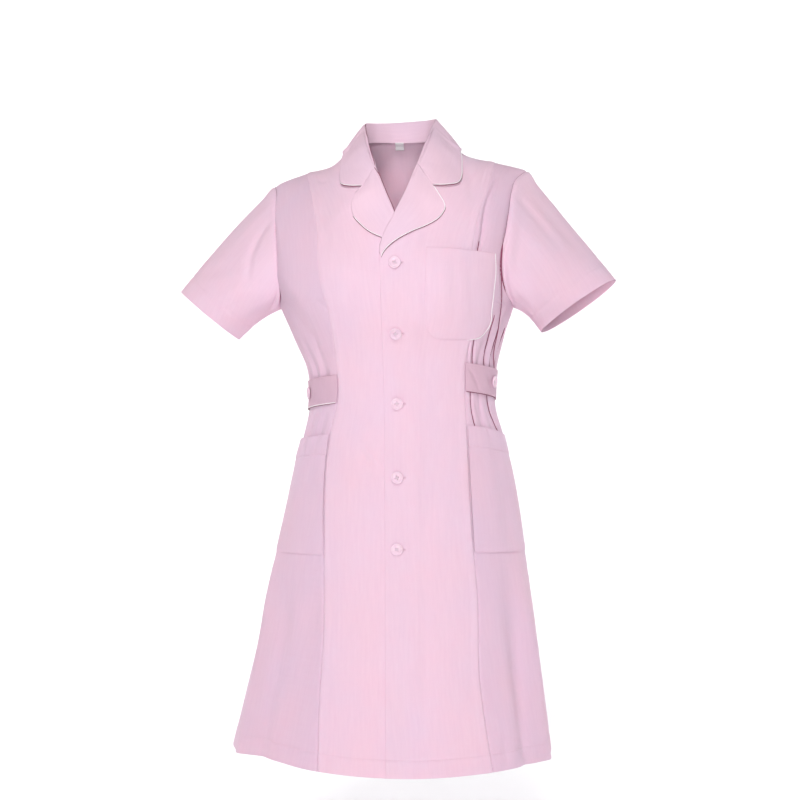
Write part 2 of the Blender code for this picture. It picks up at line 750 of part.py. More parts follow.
def collar_lines():
    """The collar's neck seam, its normals there, its fold, its outer edge, its bulge and whether it is on
    the back, from the end at the left lapel round to the end at the right lapel."""
    neck, neck_out, fold, edge, bulge, faces = [], [], [], [], [], []
    left_half = [("left", 1.0, row) for row in reversed(COLLAR)]
    right_half = [("right", -1.0, row) for row in COLLAR[1:]]
    for side, sign, row in left_half + right_half:
        neck_x, neck_z, fold_x, fold_y, fold_z, edge_x, edge_z, bow, face = row
        on_back = face == "back"
        if on_back:
            x = sign * neck_x
            z = float(back_neck_z(x))
        else:
            z = neck_z + COLLAR_LEAN * sign * neck_x
            x = float(smooth(FRONT_EDGE[side][:, 0], FRONT_EDGE[side][:, 1], z))
        a, v = place(x, z, on_back)
        neck.append(on_body(a, v, CLOTH / 2))
        neck_out.append(normal(a, v))
        width = 1.0 if side == "left" else COLLAR_RIGHT_WIDTH
        fold.append((sign * fold_x, fold_y, fold_z + COLLAR_LEAN * sign * fold_x))
        out_x = sign * edge_x * width
        a, v = place(out_x, edge_z + COLLAR_EDGE_LEAN * out_x, on_back)
        edge.append(on_body(a, v, CLOTH * 1.5 + LAID_GAP + COLLAR_EDGE_STANDS))
        bulge.append(bow)
        faces.append(on_back)
    return [np.array(line, float) for line in (neck, neck_out, fold, edge, bulge)] + [faces]


def kept_clear(points, on_back, least):
    """The points, moved out where they come nearer the body surface than least."""
    rows = []
    for row, back_row in zip(points, on_back):
        a, v = place(row[:, 0], row[:, 2], back_row)
        out = normal(a, v)
        above = ((row - body(a, v)) * out).sum(axis=1)
        rows.append(row + out * np.maximum(least - above, 0)[:, None])
    return np.array(rows)


def collar():
    """One wall: up the stand from the neck seam, over the fold and down the fall to the outer edge."""
    neck, neck_out, fold, edge, bulge, on_back = collar_lines()
    along = unit(np.gradient(neck, axis=0))
    into_hole = unit(np.cross(neck_out, along))
    up = unit(fold - neck)
    aslant = np.sqrt(np.clip(1 - (up * into_hole).sum(axis=1) ** 2, 0, 1))[:, None]
    root = neck + into_hole * (NECK_GAP + CLOTH / 2 * aslant)
    up = unit(fold - root)
    off = unit(across(edge - fold, up))
    middle = fold - up * COLLAR_FOLD_RADIUS
    inner, outer = middle - off * COLLAR_FOLD_RADIUS, middle + off * COLLAR_FOLD_RADIUS
    path = [root, (root + inner) / 2, inner, fold, outer]
    chord = unit(edge - outer)
    control = (outer + edge) / 2 + unit(across(up + off, chord)) * bulge[:, None] * 2
    for t in np.linspace(0, 1, COLLAR_FALL_POINTS + 1)[1:]:
        path.append((1 - t) ** 2 * outer + 2 * t * (1 - t) * control + t * t * edge)
    grid = np.stack(path, axis=1)
    fall = slice(4, None)
    grid[:, fall] = kept_clear(grid[:, fall], on_back, COLLAR_CLEAR)
    out = unit(np.cross(np.gradient(grid, axis=1), np.gradient(grid, axis=0)))
    half = out * CLOTH / 2
    return wall("collar", grid - half, grid + half, PINK_COLLAR)


def lapel(side):
    """A turned-back facing that lies on its front, from the roll line to its own edge."""
    rows = np.array(LAPEL[side])
    steps = np.arange(len(rows))
    fine = np.linspace(0, len(rows) - 1, 2 * len(rows) - 1)
    roll_x, roll_z, edge_x, edge_z = [smooth(steps, rows[:, k], fine)[:, None] for k in range(4)]
    share = np.linspace(0, 1, LAPEL_COLUMNS + 1)
    x = roll_x + (edge_x - roll_x) * share
    z = roll_z + (edge_z - roll_z) * share
    a, v = place(x, z)
    bow = LAPEL_SPRING * np.sin(share * math.pi) * ease(z, -0.120, -0.080)
    lift = CLOTH + LAPEL_GAP + bow
    if side == "left":
        lift = lift + lap_lift(a, v)
    base = on_body(a, v, lift)
    return wall(f"lapel_{side}", base, base + normal(a, v) * CLOTH, PINK_COLLAR)


# ---------------------------------------------------------------- what lies on the panels


def laid_on(name, a, v, lift, colour, folded=False):
    """A piece on the panels: lift is what it adds to the gap over the cloth under it."""
    base = on_body(a, v, CLOTH + LAID_GAP + lift, folded)
    return wall(name, base, base + normal(a, v, folded) * CLOTH, colour)


def chest_pocket():
    """A patch with a round lower corner towards the centre and a long curve up its outer side."""
    inner, corner = CHEST_POCKET["inner"], CHEST_POCKET["round"]
    low, high = CHEST_POCKET["bottom"], CHEST_POCKET["top"]
    up = np.array([0, 0.015, 0.04, 0.09, 0.16, 0.25, 0.37, 0.5, 0.63, 0.76, 0.88, 1.0])[:, None]
    z = low + (high - low) * up
    in_corner = np.clip(1 - (z - low) / corner, 0, 1)
    start = inner + corner * (1 - np.sqrt(1 - in_corner**2))
    end = smooth(CHEST_POCKET_OUTER[:, 0], CHEST_POCKET_OUTER[:, 1], z)
    share = np.linspace(0, 1, 13)
    x = start + (end - start) * share
    a, v = place(x, z - CHEST_POCKET["top_fall"] * share * up)
    mouth = POCKET_MOUTH_STANDS / 2 * ease(up, 0.7, 1.0) * np.ones_like(x)
    return laid_on("chest_pocket", a, v, lap_lift(a, v) + mouth, PINK)


def lower_pocket(side):
    """A patch from the princess seam to the side seam, its mouth falling towards the side."""
    sign = 1.0 if side == "left" else -1.0
    sizes = LOWER_POCKET[side]
    share_up = np.linspace(0, 1, 8)[:, None]
    share_out = np.linspace(0, 1, SIDE_COLUMNS + 1)
    low = sizes["bottom"] - sizes["bottom_fall"] * share_out
    high = sizes["top"] - sizes["top_fall"] * share_out
    z = low + (high - low) * share_up
    v = (z - HEM_Z) / (UNDERARM_Z - HEM_Z)
    seam = around_at(seam_x(PRINCESS[side], 1, v[:, :1]), v[:, :1])
    inset = sign * CLOTH / metres_per_a(seam, v)
    a = seam + (sign - seam) * share_out
    a[:, 0] += inset[:, 0]
    a[:, -1] -= inset[:, 0]
    mouth = POCKET_MOUTH_STANDS * ease(share_up, 0.75, 1.0) * np.sin(share_out * math.pi)
    return laid_on(f"pocket_{side}", a, v, mouth, PINK_SHADED, folded=True)


def tab_level(side, share):
    """Height of a waist tab's upper edge, from the princess seam to its end."""
    return TAB[side]["top"] - TAB[side]["fall"] * share


def waist_tab(side):
    sign = 1.0 if side == "left" else -1.0
    share = np.linspace(0, 1, 15)
    up = np.linspace(-1, 0, 4)[:, None]
    z = tab_level(side, share) + TAB_HEIGHT * up
    v = (z - HEM_Z) / (UNDERARM_Z - HEM_Z)
    start = around_at(seam_x(PRINCESS[side], 1, v), v)
    start = start + sign * CLOTH / metres_per_a(start, v)
    a = start + (sign * TAB[side]["end"] - start) * share
    return laid_on(f"waist_tab_{side}", a, v, no_lift(a, v), PINK_SHADED)


def button(name, a, v, out, folded=True):
    """A dished round button that stands on the cloth: out is how far that is off the body surface."""
    shape = bmesh.new()
    rings = []
    for radius, high in BUTTON_OUTLINE:
        if radius == 0:
            rings.append([shape.verts.new((0, 0, high))])
            continue
        turns = [2 * math.pi * k / BUTTON_SIDES for k in range(BUTTON_SIDES)]
        rings.append(
            [shape.verts.new((radius * math.cos(t), radius * math.sin(t), high)) for t in turns]
        )
    for low, high in zip(rings[:-1], rings[1:]):
        for k in range(BUTTON_SIDES):
            n = (k + 1) % BUTTON_SIDES
            corners = [low[k % len(low)], low[n % len(low)], high[n % len(high)], high[k % len(high)]]
            shape.faces.new(list(dict.fromkeys(corners)))
    made = add_object(name, shape, SHELL_WHITE, 0.3)
    facing = mathutils.Vector(normal(a, v, folded).tolist())
    made.location = on_body(a, v, out + BUTTON_CLEAR, folded).tolist()
    made.rotation_mode = "QUATERNION"
    made.rotation_quaternion = facing.to_track_quat("Z", "Y")
    return made


def buttons():
    for number, (x, z) in enumerate(FRONT_BUTTONS, 1):
        a, v = place(x, z)
        button(f"button_front_{number}", a, v, CLOTH + float(lap_lift(a, v)))
    for side, sign in (("left", 1.0), ("right", -1.0)):
        middle = tab_level(side, TAB_BUTTON_SHARE) - TAB_HEIGHT / 2
        v = np.array((middle - HEM_Z) / (UNDERARM_Z - HEM_Z))
        a = np.array(sign * TAB[side]["button"])
        button(f"button_tab_{side}", a, v, 2 * CLOTH + LAID_GAP, folded=False)


def neck_label():
    x, z = np.meshgrid(
        LABEL["middle"] + np.linspace(LABEL["half_width"], -LABEL["half_width"], 3),
        np.linspace(LABEL["bottom"], LABEL["top"], 3),
    )
    a, v = place(x, z, back=True)
    a = np.where(a < 0, a + 4, a)
    near = on_body(a, v, -LABEL["clear"])
    return wall("neck_label", near - normal(a, v) * LABEL["thick"], near, LABEL_WHITE)


def main():
    for old in list(bpy.data.objects):
        bpy.data.objects.remove(old)
    for side in ("left", "right"):
        front(side)
        side_front(side)
        sleeve(side)
        lapel(side)
        lower_pocket(side)
        waist_tab(side)
    back()
    collar()
    chest_pocket()
    buttons()
    neck_label()


main()
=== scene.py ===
"""The finished look of a short-sleeved nurse uniform dress, worn shape with no wearer.

Units are metres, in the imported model's own frame: +X is the wearer's left, the front faces -Y and +Z is
up. Each sewn piece is a thin shell that lies where its solid is. Like the solids, the shells come from one
smooth surface, body(a, v): a goes round it (0 centre front, 1 and -1 side seams, 2 centre back) and v goes
up it (0 hem, 1 underarm, 2 start of the shoulder's curve, 3 shoulder ridge).
"""

import math

import bmesh
import bpy
import mathutils
import numpy as np
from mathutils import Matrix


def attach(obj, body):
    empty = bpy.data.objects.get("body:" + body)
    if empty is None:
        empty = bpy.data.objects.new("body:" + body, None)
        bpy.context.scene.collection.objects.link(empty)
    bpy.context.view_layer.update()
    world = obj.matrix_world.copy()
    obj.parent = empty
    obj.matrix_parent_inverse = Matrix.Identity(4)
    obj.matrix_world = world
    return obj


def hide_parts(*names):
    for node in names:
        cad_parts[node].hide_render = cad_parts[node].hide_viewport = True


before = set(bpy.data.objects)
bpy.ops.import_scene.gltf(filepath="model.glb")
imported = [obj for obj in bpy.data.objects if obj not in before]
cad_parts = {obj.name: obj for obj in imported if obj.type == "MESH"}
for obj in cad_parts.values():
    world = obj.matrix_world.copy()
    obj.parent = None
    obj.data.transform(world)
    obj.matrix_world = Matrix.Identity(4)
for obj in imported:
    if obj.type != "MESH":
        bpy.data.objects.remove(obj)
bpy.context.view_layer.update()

SIDES = {"left": 1.0, "right": -1.0}  # the sign of x and a on each side

# ---- driving dimensions, as for the solids ----
CLOTH = 0.002  # thickness of one sewn layer
LAID_GAP = 0.0008  # under a piece that lies on a panel
HEM_Z = -0.960
UNDERARM_Z = -0.252
SHOULDER_CURVE = 0.12  # height of the rounded part under the shoulder ridge
SQUARENESS = 2.25  # 2 is an ellipse, more is a squarer section
HALFWAY_X = 0.1  # half way out from the middle, where a level is read before its x is known

# Level sections of the body: height, reach to the wearer's right and left, to the front and to the back.
SECTIONS = np.array([
    (-0.97, 0.267, 0.24, 0.174, 0.174), (-0.888, 0.248, 0.23, 0.16, 0.162),
    (-0.76, 0.219, 0.214, 0.145, 0.149), (-0.632, 0.193, 0.196, 0.131, 0.136),
    (-0.568, 0.179, 0.187, 0.124, 0.128), (-0.504, 0.165, 0.175, 0.116, 0.118),
    (-0.456, 0.152, 0.163, 0.11, 0.108), (-0.408, 0.142, 0.15, 0.106, 0.1),
    (-0.376, 0.142, 0.15, 0.106, 0.098), (-0.344, 0.148, 0.153, 0.11, 0.099),
    (-0.31, 0.163, 0.161, 0.118, 0.103), (-0.285, 0.174, 0.168, 0.126, 0.107),
    (-0.252, 0.189, 0.179, 0.132, 0.111), (-0.2, 0.202, 0.187, 0.133, 0.114),
    (-0.15, 0.209, 0.193, 0.122, 0.114), (-0.1, 0.212, 0.198, 0.106, 0.11),
    (-0.05, 0.212, 0.203, 0.089, 0.098), (0.02, 0.212, 0.206, 0.075, 0.086),
])

# How far the hem hangs above or below its level, round the body.
HEM_HANG = np.array([
    (-1.0, 0.0125), (-0.75, 0.0125), (-0.5, 0.015), (-0.28, 0.006), (0.0, -0.0005), (0.34, 0.003),
    (0.55, 0.0055), (0.8, 0.0055), (1.0, 0.0055), (1.5, 0.0035), (2.0, 0.0), (2.5, 0.006), (3.0, 0.0125),
])
HEM_HANG_REACH = 0.30  # the share of the way up to the underarm that it reaches

# The shoulder ridge from one side to the other.
RIDGE = np.array([
    (-0.24, -0.082), (-0.2, -0.058), (-0.15, -0.038), (-0.1, -0.0215), (-0.08, -0.002), (-0.06, 0.018),
    (-0.03, 0.038), (0.0, 0.045), (0.03, 0.041), (0.06, 0.024), (0.08, 0.006), (0.1, -0.009),
    (0.15, -0.0235), (0.2, -0.037), (0.24, -0.052),
])

# The inner edge of each front: placket edge, then the lapel's roll line, then the neck seam.
FRONT_EDGE = {  # 
    "left": np.array([
        (-0.96, -0.01), (-0.6, -0.014), (-0.2, -0.021), (-0.178, -0.0215), (-0.155, -0.0165),
        (-0.128, -0.0032), (-0.099, 0.0088), (-0.07, 0.0212), (-0.038, 0.0335), (-0.02, 0.043),
        (0.0, 0.055), (0.021, 0.066),
    ]),
    "right": np.array([
        (-0.96, 0.024), (-0.6, 0.023), (-0.2, 0.022), (-0.172, 0.0195), (-0.155, 0.0155), (-0.128, 0.0032),
        (-0.099, -0.0088), (-0.07, -0.0212), (-0.041, -0.0325), (-0.024, -0.041), (-0.006, -0.053),
        (0.012, -0.066),
    ]),
}

# The princess seams between centre front and side front.
PRINCESS = {  # 
    "left": np.array([
        (-0.96, 0.1485), (-0.893, 0.138), (-0.835, 0.13), (-0.694, 0.125), (-0.633, 0.1195), (-0.44, 0.108),
        (-0.386, 0.105), (-0.342, 0.1055), (-0.3, 0.115), (-0.164, 0.118), (-0.112, 0.128), (-0.07, 0.141),
        (-0.02, 0.152),
    ]),
    "right": np.array([
        (-0.96, -0.1115), (-0.874, -0.112), (-0.747, -0.1075), (-0.637, -0.108), (-0.453, -0.101),
        (-0.403, -0.09), (-0.322, -0.093), (-0.267, -0.101), (-0.219, -0.113), (-0.137, -0.121),
        (-0.09, -0.131), (-0.036, -0.148),
    ]),
}

# The armhole seams, from underarm to shoulder tip, on the front and on the back.
ARMHOLE = {  # 
    "left": np.array([
        (-0.252, 0.179, 0.179), (-0.247, 0.1765, 0.1775), (-0.24, 0.171, 0.176), (-0.225, 0.1645, 0.1735),
        (-0.205, 0.161, 0.173), (-0.173, 0.1615, 0.174), (-0.138, 0.168, 0.176), (-0.104, 0.173, 0.179),
        (-0.074, 0.177, 0.183), (-0.053, 0.184, 0.189), (-0.037, 0.2, 0.2),
    ]),
    "right": np.array([
        (-0.252, -0.189, -0.189), (-0.247, -0.1875, -0.188), (-0.24, -0.185, -0.1865),
        (-0.225, -0.184, -0.1855), (-0.205, -0.1845, -0.1855), (-0.173, -0.187, -0.1875),
        (-0.138, -0.1905, -0.189), (-0.104, -0.1935, -0.1915), (-0.084, -0.1945, -0.1935),
        (-0.07, -0.1955, -0.1955), (-0.058, -0.2, -0.2),
    ]),
}
FRONT_X, BACK_X = 1, 2  # columns of an armhole seam

# The back neck seam.
BACK_NECK_HALF, BACK_NECK_Z = 0.066, 0.022

# Where each sleeve ends: the middle of the cuff, its width along the slant and its depth front to back,
# how far the slant leans from level, how far the back of the cuff reaches past its front, and how far the
# sleeve's upper side rises on its way there.
CUFF = {
    "left": dict(
        middle=(0.284, 0.004, -0.251), width=0.142, depth=0.086, slant=34.5, open=0.014, rise=0.0
    ),
    "right": dict(
        middle=(-0.308, 0.004, -0.264), width=0.120, depth=0.096, slant=39.5, open=0.003, rise=0.006
    ),
}
SLEEVE_FULLNESS = 0.010  # how far its front and back bow out between armhole and cuff
UNDERARM_TUCK = 0.007  # how far the sleeve's underside is drawn up between armhole and cuff

# Half the collar from the centre back to the end of its front edge. Neck and edge points lie on the
# body at (x, z), on the face named last. The fold stands free. The other half mirrors it.
COLLAR = (
    (0.0, 0.022, 0.0, 0.06, 0.0545, 0.0, -0.022, 0.004, "back"),
    (0.0195, 0.0218, 0.021, 0.058, 0.0543, 0.035, -0.0215, 0.004, "back"),
    (0.0427, 0.0212, 0.042, 0.048, 0.053, 0.064, -0.02, 0.004, "back"),
    (0.059, 0.02, 0.0545, 0.03, 0.0506, 0.085, -0.018, 0.003, "back"),
    (0.0645, 0.019, 0.057, 0.019, 0.0482, 0.0915, -0.013, 0.002, "back"),
    (0.066, 0.04, 0.058, 0.008, 0.0446, 0.093, 0.04, 0.001, "front"),
    (0.064, 0.015, 0.0568, -0.001, 0.04, 0.0945, -0.014, 0.001, "front"),
    (0.0615, 0.009, 0.055, -0.01, 0.0345, 0.0972, -0.027, 0.001, "front"),
    (0.056, 0.0, 0.051, -0.029, 0.0207, 0.0982, -0.043, 0.002, "front"),
    (0.0505, -0.01, 0.0475, -0.045, 0.0065, 0.0982, -0.0572, 0.002, "front"),
    (0.045, -0.019, 0.0435, -0.06, -0.007, 0.0932, -0.0682, 0.002, "front"),
    (0.039, -0.029, 0.0388, -0.0725, -0.0225, 0.0785, -0.0722, 0.002, "front"),
    (0.0335, -0.0385, 0.0335, -0.0835, -0.0385, 0.0563, -0.0733, 0.001, "front"),
)
COLLAR_LEAN = 0.05  # the collar tilts with the shoulders: rise for each metre to the wearer's left
COLLAR_EDGE_LEAN = 0.004  # the same for its outer edge
COLLAR_FOLD_RADIUS = 0.00198
COLLAR_EDGE_STANDS = 0.0020  # how far the collar's outer edge stands off the body
COLLAR_RIGHT_WIDTH = 0.885  # the right half reaches less far out than the left

# Each lapel from the gorge down to where the front closes: its roll line and its outer edge, at (x, z).
LAPEL = {  # 
    "left": (
        (0.0335, -0.0392, 0.0563, -0.0746), (0.028, -0.0525, 0.0656, -0.0885),
        (0.0212, -0.07, 0.074, -0.102), (0.015, -0.085, 0.0745, -0.112), (0.0088, -0.099, 0.0645, -0.1262),
        (0.0022, -0.115, 0.0461, -0.1374), (-0.0032, -0.128, 0.024, -0.148),
        (-0.011, -0.141, 0.005, -0.1585), (-0.0165, -0.155, -0.0089, -0.1695),
        (-0.0205, -0.169, -0.0165, -0.179), (-0.0212, -0.18, -0.019, -0.1855),
    ),
    "right": (
        (-0.0326, -0.0445, -0.048, -0.0757), (-0.028, -0.0535, -0.0605, -0.088),
        (-0.0212, -0.07, -0.0665, -0.0985), (-0.015, -0.085, -0.0665, -0.109),
        (-0.0088, -0.099, -0.0633, -0.12), (-0.0022, -0.115, -0.052, -0.133),
        (0.0032, -0.128, -0.038, -0.145), (0.01, -0.141, -0.018, -0.155),
    ),
}
LAPEL_GAP = 0.0010
LAPEL_SPRING = 0.0032  # how far a lapel bows off the front between its roll and its edge

# Patch pockets: the wall's corners at (x, z). The chest pocket's outer side is drawn in towards the bottom.
CHEST_POCKET = dict(inner=0.048, top=-0.170, top_fall=0.006, bottom=-0.308, round=0.022)
CHEST_POCKET_OUTER = np.array([
    (-0.308, 0.108), (-0.306, 0.12), (-0.301, 0.13), (-0.2925, 0.1378), (-0.2565, 0.1458), (-0.227, 0.149),
    (-0.201, 0.1515), (-0.17, 0.151),
])
LOWER_POCKET = {
    "left": dict(top=-0.439, top_fall=0.019, bottom=-0.632, bottom_fall=0.006),
    "right": dict(top=-0.453, top_fall=0.013, bottom=-0.637, bottom_fall=0.003),
}

# Waist tabs: height of the upper edge at the princess seam, how far it falls towards its end, and where
# round the body the end and the button are.
TAB = {
    "left": dict(top=-0.342, fall=0.014, end=1.16, button=0.82),
    "right": dict(top=-0.360, fall=0.014, end=1.16, button=0.83),
}
TAB_HEIGHT = 0.044
TAB_BUTTON_SHARE = 0.5  # the share of a tab's length at which its button sits

# Front buttons, at (x, z), and the bare label inside the back neck.
FRONT_BUTTONS = (
    (0.0015, -0.1935), (0.002, -0.2985), (0.003, -0.406), (0.004, -0.5185), (0.0045, -0.626),
)
LABEL = dict(middle=-0.0045, half_width=0.0070, top=0.0226, bottom=0.0114)

# Soft folds that stand out from (or sink into) the body: round it from a to a_top, between two heights.
FOLDS = (
    ("left", 0.6, -0.36, 0.62, -0.29, 0.04, -0.005), ("left", 0.69, -0.362, 0.68, -0.3, 0.04, -0.0035),
    ("left", 0.8, -0.366, 0.78, -0.3, 0.04, -0.004), ("left", 0.905, -0.368, 0.89, -0.31, 0.04, -0.003),
    ("left", 0.63, -0.45, 0.6, -0.392, 0.04, -0.004), ("left", 0.75, -0.45, 0.73, -0.396, 0.04, -0.003),
    ("left", 0.88, -0.455, 0.86, -0.398, 0.04, -0.004), ("right", 0.52, -0.376, 0.54, -0.3, 0.042, -0.003),
    ("right", 0.66, -0.38, 0.67, -0.31, 0.042, -0.004), ("right", 0.82, -0.384, 0.8, -0.32, 0.042, -0.0035),
    ("right", 0.56, -0.47, 0.54, -0.408, 0.042, -0.003),
    ("right", 0.74, -0.47, 0.72, -0.412, 0.042, -0.0035),
    ("right", 0.88, -0.474, 0.86, -0.414, 0.042, -0.003), ("left", 0.8, -0.96, 0.77, -0.66, 0.06, 0.008),
    ("left", 0.62, -0.96, 0.66, -0.7, 0.045, -0.005), ("right", 0.7, -0.96, 0.8, -0.6, 0.06, 0.008),
    ("right", 0.54, -0.96, 0.56, -0.72, 0.045, -0.005), ("left", 1.3, -0.96, 1.22, -0.48, 0.07, 0.009),
    ("right", 1.28, -0.96, 1.22, -0.5, 0.07, 0.009), ("left", 1.62, -0.96, 1.56, -0.52, 0.08, 0.007),
    ("right", 1.64, -0.96, 1.56, -0.5, 0.08, 0.007), ("left", 1.14, -0.96, 1.11, -0.64, 0.05, -0.006),
    ("right", 1.13, -0.96, 1.11, -0.66, 0.05, -0.006), ("left", 1.46, -0.96, 1.4, -0.6, 0.06, -0.006),
    ("right", 1.46, -0.96, 1.4, -0.6, 0.06, -0.006),
)

# Bust fullness that the princess seams shape.
BUST_X, BUST_Z, BUST_WIDE, BUST_TALL, BUST_OUT = 0.085, -0.215, 0.055, 0.065, 0.009


def smooth(table_x, table_y, x):
    """A smooth curve through the table's points, read at x."""
    table_x, table_y = np.asarray(table_x, float), np.asarray(table_y, float)
    x = np.clip(np.asarray(x, float), table_x[0], table_x[-1])
    steps = np.diff(table_x)
    slopes = np.diff(table_y) / steps
    tangents = np.empty_like(table_y)
    tangents[0], tangents[-1] = slopes[0], slopes[-1]
    tangents[1:-1] = (slopes[:-1] * steps[1:] + slopes[1:] * steps[:-1]) / (steps[:-1] + steps[1:])
    i = np.clip(np.searchsorted(table_x, x, side="right") - 1, 0, len(steps) - 1)
    t = (x - table_x[i]) / steps[i]
    value = (1 + 2 * t) * (1 - t) ** 2 * table_y[i] + t * t * (3 - 2 * t) * table_y[i + 1]
    return value + t * (1 - t) * steps[i] * ((1 - t) * tangents[i] - t * tangents[i + 1])


def read(table, column, x):
    """A column of a table, read at x in its first column."""
    return smooth(table[:, 0], table[:, column], x)


def refined(line, count):
    """A line of points with more of them, on a smooth curve through it."""
    line = np.array(line, float)
    index, fine = np.arange(len(line)), np.linspace(0, len(line) - 1, count)
    return np.stack([smooth(index, line[:, k], fine) for k in range(line.shape[1])], axis=1)


def ease(x, low, high):
    """0 below low, 1 above high, and smooth between."""
    t = np.clip((np.asarray(x, float) - low) / (high - low), 0, 1)
    return t * t * (3 - 2 * t)


def bell(distance, width):
    """1 at distance 0, falling away smoothly over the width on both sides."""
    return np.exp(-((distance / width) ** 2))


def unit(vectors):
    return vectors / np.linalg.norm(vectors, axis=-1, keepdims=True)


def across(vectors, line):
    """What is left of the vectors square to a line of unit vectors."""
    return vectors - (vectors * line).sum(axis=-1, keepdims=True) * line


def ridge(x):
    return read(RIDGE, 1, x)


def height(x, v):
    """The height of the body surface's level v at x."""
    start = ridge(x) - SHOULDER_CURVE
    skirt = HEM_Z + (UNDERARM_Z - HEM_Z) * v
    chest = UNDERARM_Z + (start - UNDERARM_Z) * (v - 1)
    shoulder = start + SHOULDER_CURVE * np.sin((v - 2) * math.pi / 2)
    return np.where(v <= 1, skirt, np.where(v <= 2, chest, shoulder))


def skirt_level(z):
    """The level v of the body surface at height z, below the underarm."""
    return (z - HEM_Z) / (UNDERARM_Z - HEM_Z)


def level(x, z):
    """The level v of the body surface at (x, z)."""
    start = ridge(x) - SHOULDER_CURVE
    chest = 1 + (z - UNDERARM_Z) / (start - UNDERARM_Z)
    shoulder = 2 + np.arcsin(np.clip((z - start) / SHOULDER_CURVE, 0, 1)) * 2 / math.pi
    return np.where(z <= UNDERARM_Z, skirt_level(z), np.where(z <= start, chest, shoulder))


def reaches(v):
    """How far level v reaches to the wearer's right and to the left."""
    z = height(np.full(np.shape(v), HALFWAY_X), np.minimum(v, 3.0))
    return read(SECTIONS, 1, z), read(SECTIONS, 2, z)


def folds(a, z):
    """How far the folds move the surface out, at a round the body and height z."""
    out = np.zeros(np.broadcast(a, z).shape)
    around = np.where(a > 2, a - 4, a)
    for side, a_foot, z_foot, a_top, z_top, half_width, rise in FOLDS:
        t = (z - z_foot) / (z_top - z_foot)
        middle = SIDES[side] * (a_foot + (a_top - a_foot) * np.clip(t, 0, 1))
        along = ease(t, 1.25, 0.45) * (1.0 if z_foot <= HEM_Z else ease(t, -0.3, 0.2))
        out = out + rise * along * bell(around - middle, half_width)
    return out


def body(a, v, folded=True):
    """Points of the body surface, shaped (..., 3), with its folds or without them."""
    a, v = np.broadcast_arrays(np.asarray(a, float), np.asarray(v, float))
    reach_right, reach_left = reaches(v)
    aside, ahead = np.sin(a * math.pi / 2), np.cos(a * math.pi / 2)
    aside = np.sign(aside) * np.abs(aside) ** (2 / SQUARENESS)
    ahead = np.sign(ahead) * np.abs(ahead) ** (2 / SQUARENESS)
    x = aside * np.where(aside > 0, reach_left, reach_right)
    z = height(x, v)
    bust = BUST_OUT * bell(np.abs(x) - BUST_X, BUST_WIDE) * bell(z - BUST_Z, BUST_TALL)
    out = folds(a, z) if folded else np.zeros_like(z)
    y = -ahead * np.where(ahead > 0, read(SECTIONS, 3, z) + bust, read(SECTIONS, 4, z))
    y = y * np.where(v > 2, np.cos((v - 2) * math.pi / 2), 1.0)
    z = z + read(HEM_HANG, 1, a) * ease(v, HEM_HANG_REACH, 0.0)
    length = np.maximum(np.hypot(aside, ahead), 1e-6)
    return np.stack([x + out * aside / length, y - out * ahead / length, z], axis=-1)


def normal(a, v, folded=True):
    """The unit vector out of the body surface."""
    step = 0.012
    a, v = np.broadcast_arrays(np.asarray(a, float), np.asarray(v, float))
    low, high = np.maximum(v - step, 0), np.minimum(v + step, 3)
    round_body = body(a + step, v, folded) - body(a - step, v, folded)
    return unit(np.cross(round_body, body(a, high, folded) - body(a, low, folded)))


def on_body(a, v, out):
    """Body points moved out along the surface's normal."""
    return body(a, v) + normal(a, v) * np.asarray(out, float)[..., None]


def around_at(x, v, back):
    """The a of the body surface where it crosses x on level v."""
    reach_right, reach_left = reaches(v)
    share = np.clip(np.abs(x) / np.where(x > 0, reach_left, reach_right), 0, 1)
    a = np.sign(x) * np.arcsin(share ** (SQUARENESS / 2)) * 2 / math.pi
    return np.where(a >= 0, 2 - a, -2 - a) if back else a


def place(x, z, back=False):
    """(a, v) of the body surface at (x, z)."""
    x, z = np.asarray(x, float), np.asarray(z, float)
    v = level(x, z)
    return around_at(x, v, back), v


def seam_a(table, v, column=1, back=False):
    """The a of a seam, given as rows of z and x, where it crosses level v."""
    x = np.full(np.shape(v), table[-1, column])
    for _ in range(12):
        x = 0.5 * x + 0.5 * read(table, column, height(x, v))
    return around_at(x, v, back)


def metres_per_a(a, v):
    """How many metres one unit of a is, there on the body surface."""
    step = 0.01
    return np.linalg.norm(body(a + step, v) - body(a - step, v), axis=-1) / (2 * step)


def armhole_a(side, v, column):
    """The a of the armhole seam at each level, or of the side seam below the underarm."""
    return np.where(v <= 1, SIDES[side], seam_a(ARMHOLE[side], v, column, column == BACK_X))


def back_neck_z(x):
    """Height of the back neck seam at x."""
    share = np.clip(np.abs(x) / BACK_NECK_HALF, 0, 1)
    return BACK_NECK_Z + (ridge(x) - BACK_NECK_Z) * share**3


def tab_level(side, share):
    """Height of a waist tab's upper edge, from the princess seam to its end."""
    return TAB[side]["top"] - TAB[side]["fall"] * share


# ---- the shells, finer than the solids ----
THIN = 0.0009  # cloth
DOUBLE = 0.0016  # two layers pressed together, as in the collar, lapels and tabs
PANEL_LIFT = 0.0007  # a panel's inner face over the body surface
THIN_LAP = 0.0017  # how far the left front stands off, where it laps over
CELL = 0.0034  # spacing of a shell's rows and columns
EDGE_STEPS = (0.0, 0.0008, 0.0017, 0.0028, 0.0045, 0.0070)  # closer columns beside a seam
CUFF_STEPS = (0.0, 0.0008, 0.0017, 0.0030, 0.0048)
SEAM_DEEP, SEAM_SHALLOW, SEAM_WIDE = 0.0012, 0.0005, 0.0015  # shallow above the waist
ALLOWANCE, ALLOWANCE_HIGH = 0.0105, 0.0006  # the seam's turned edges, which show through as a step
HEM, SLEEVE_HEM, POCKET_HEM = 0.026, 0.030, 0.032
HEM_HIGH = 0.00035  # how far a hem's second layer lifts the cloth
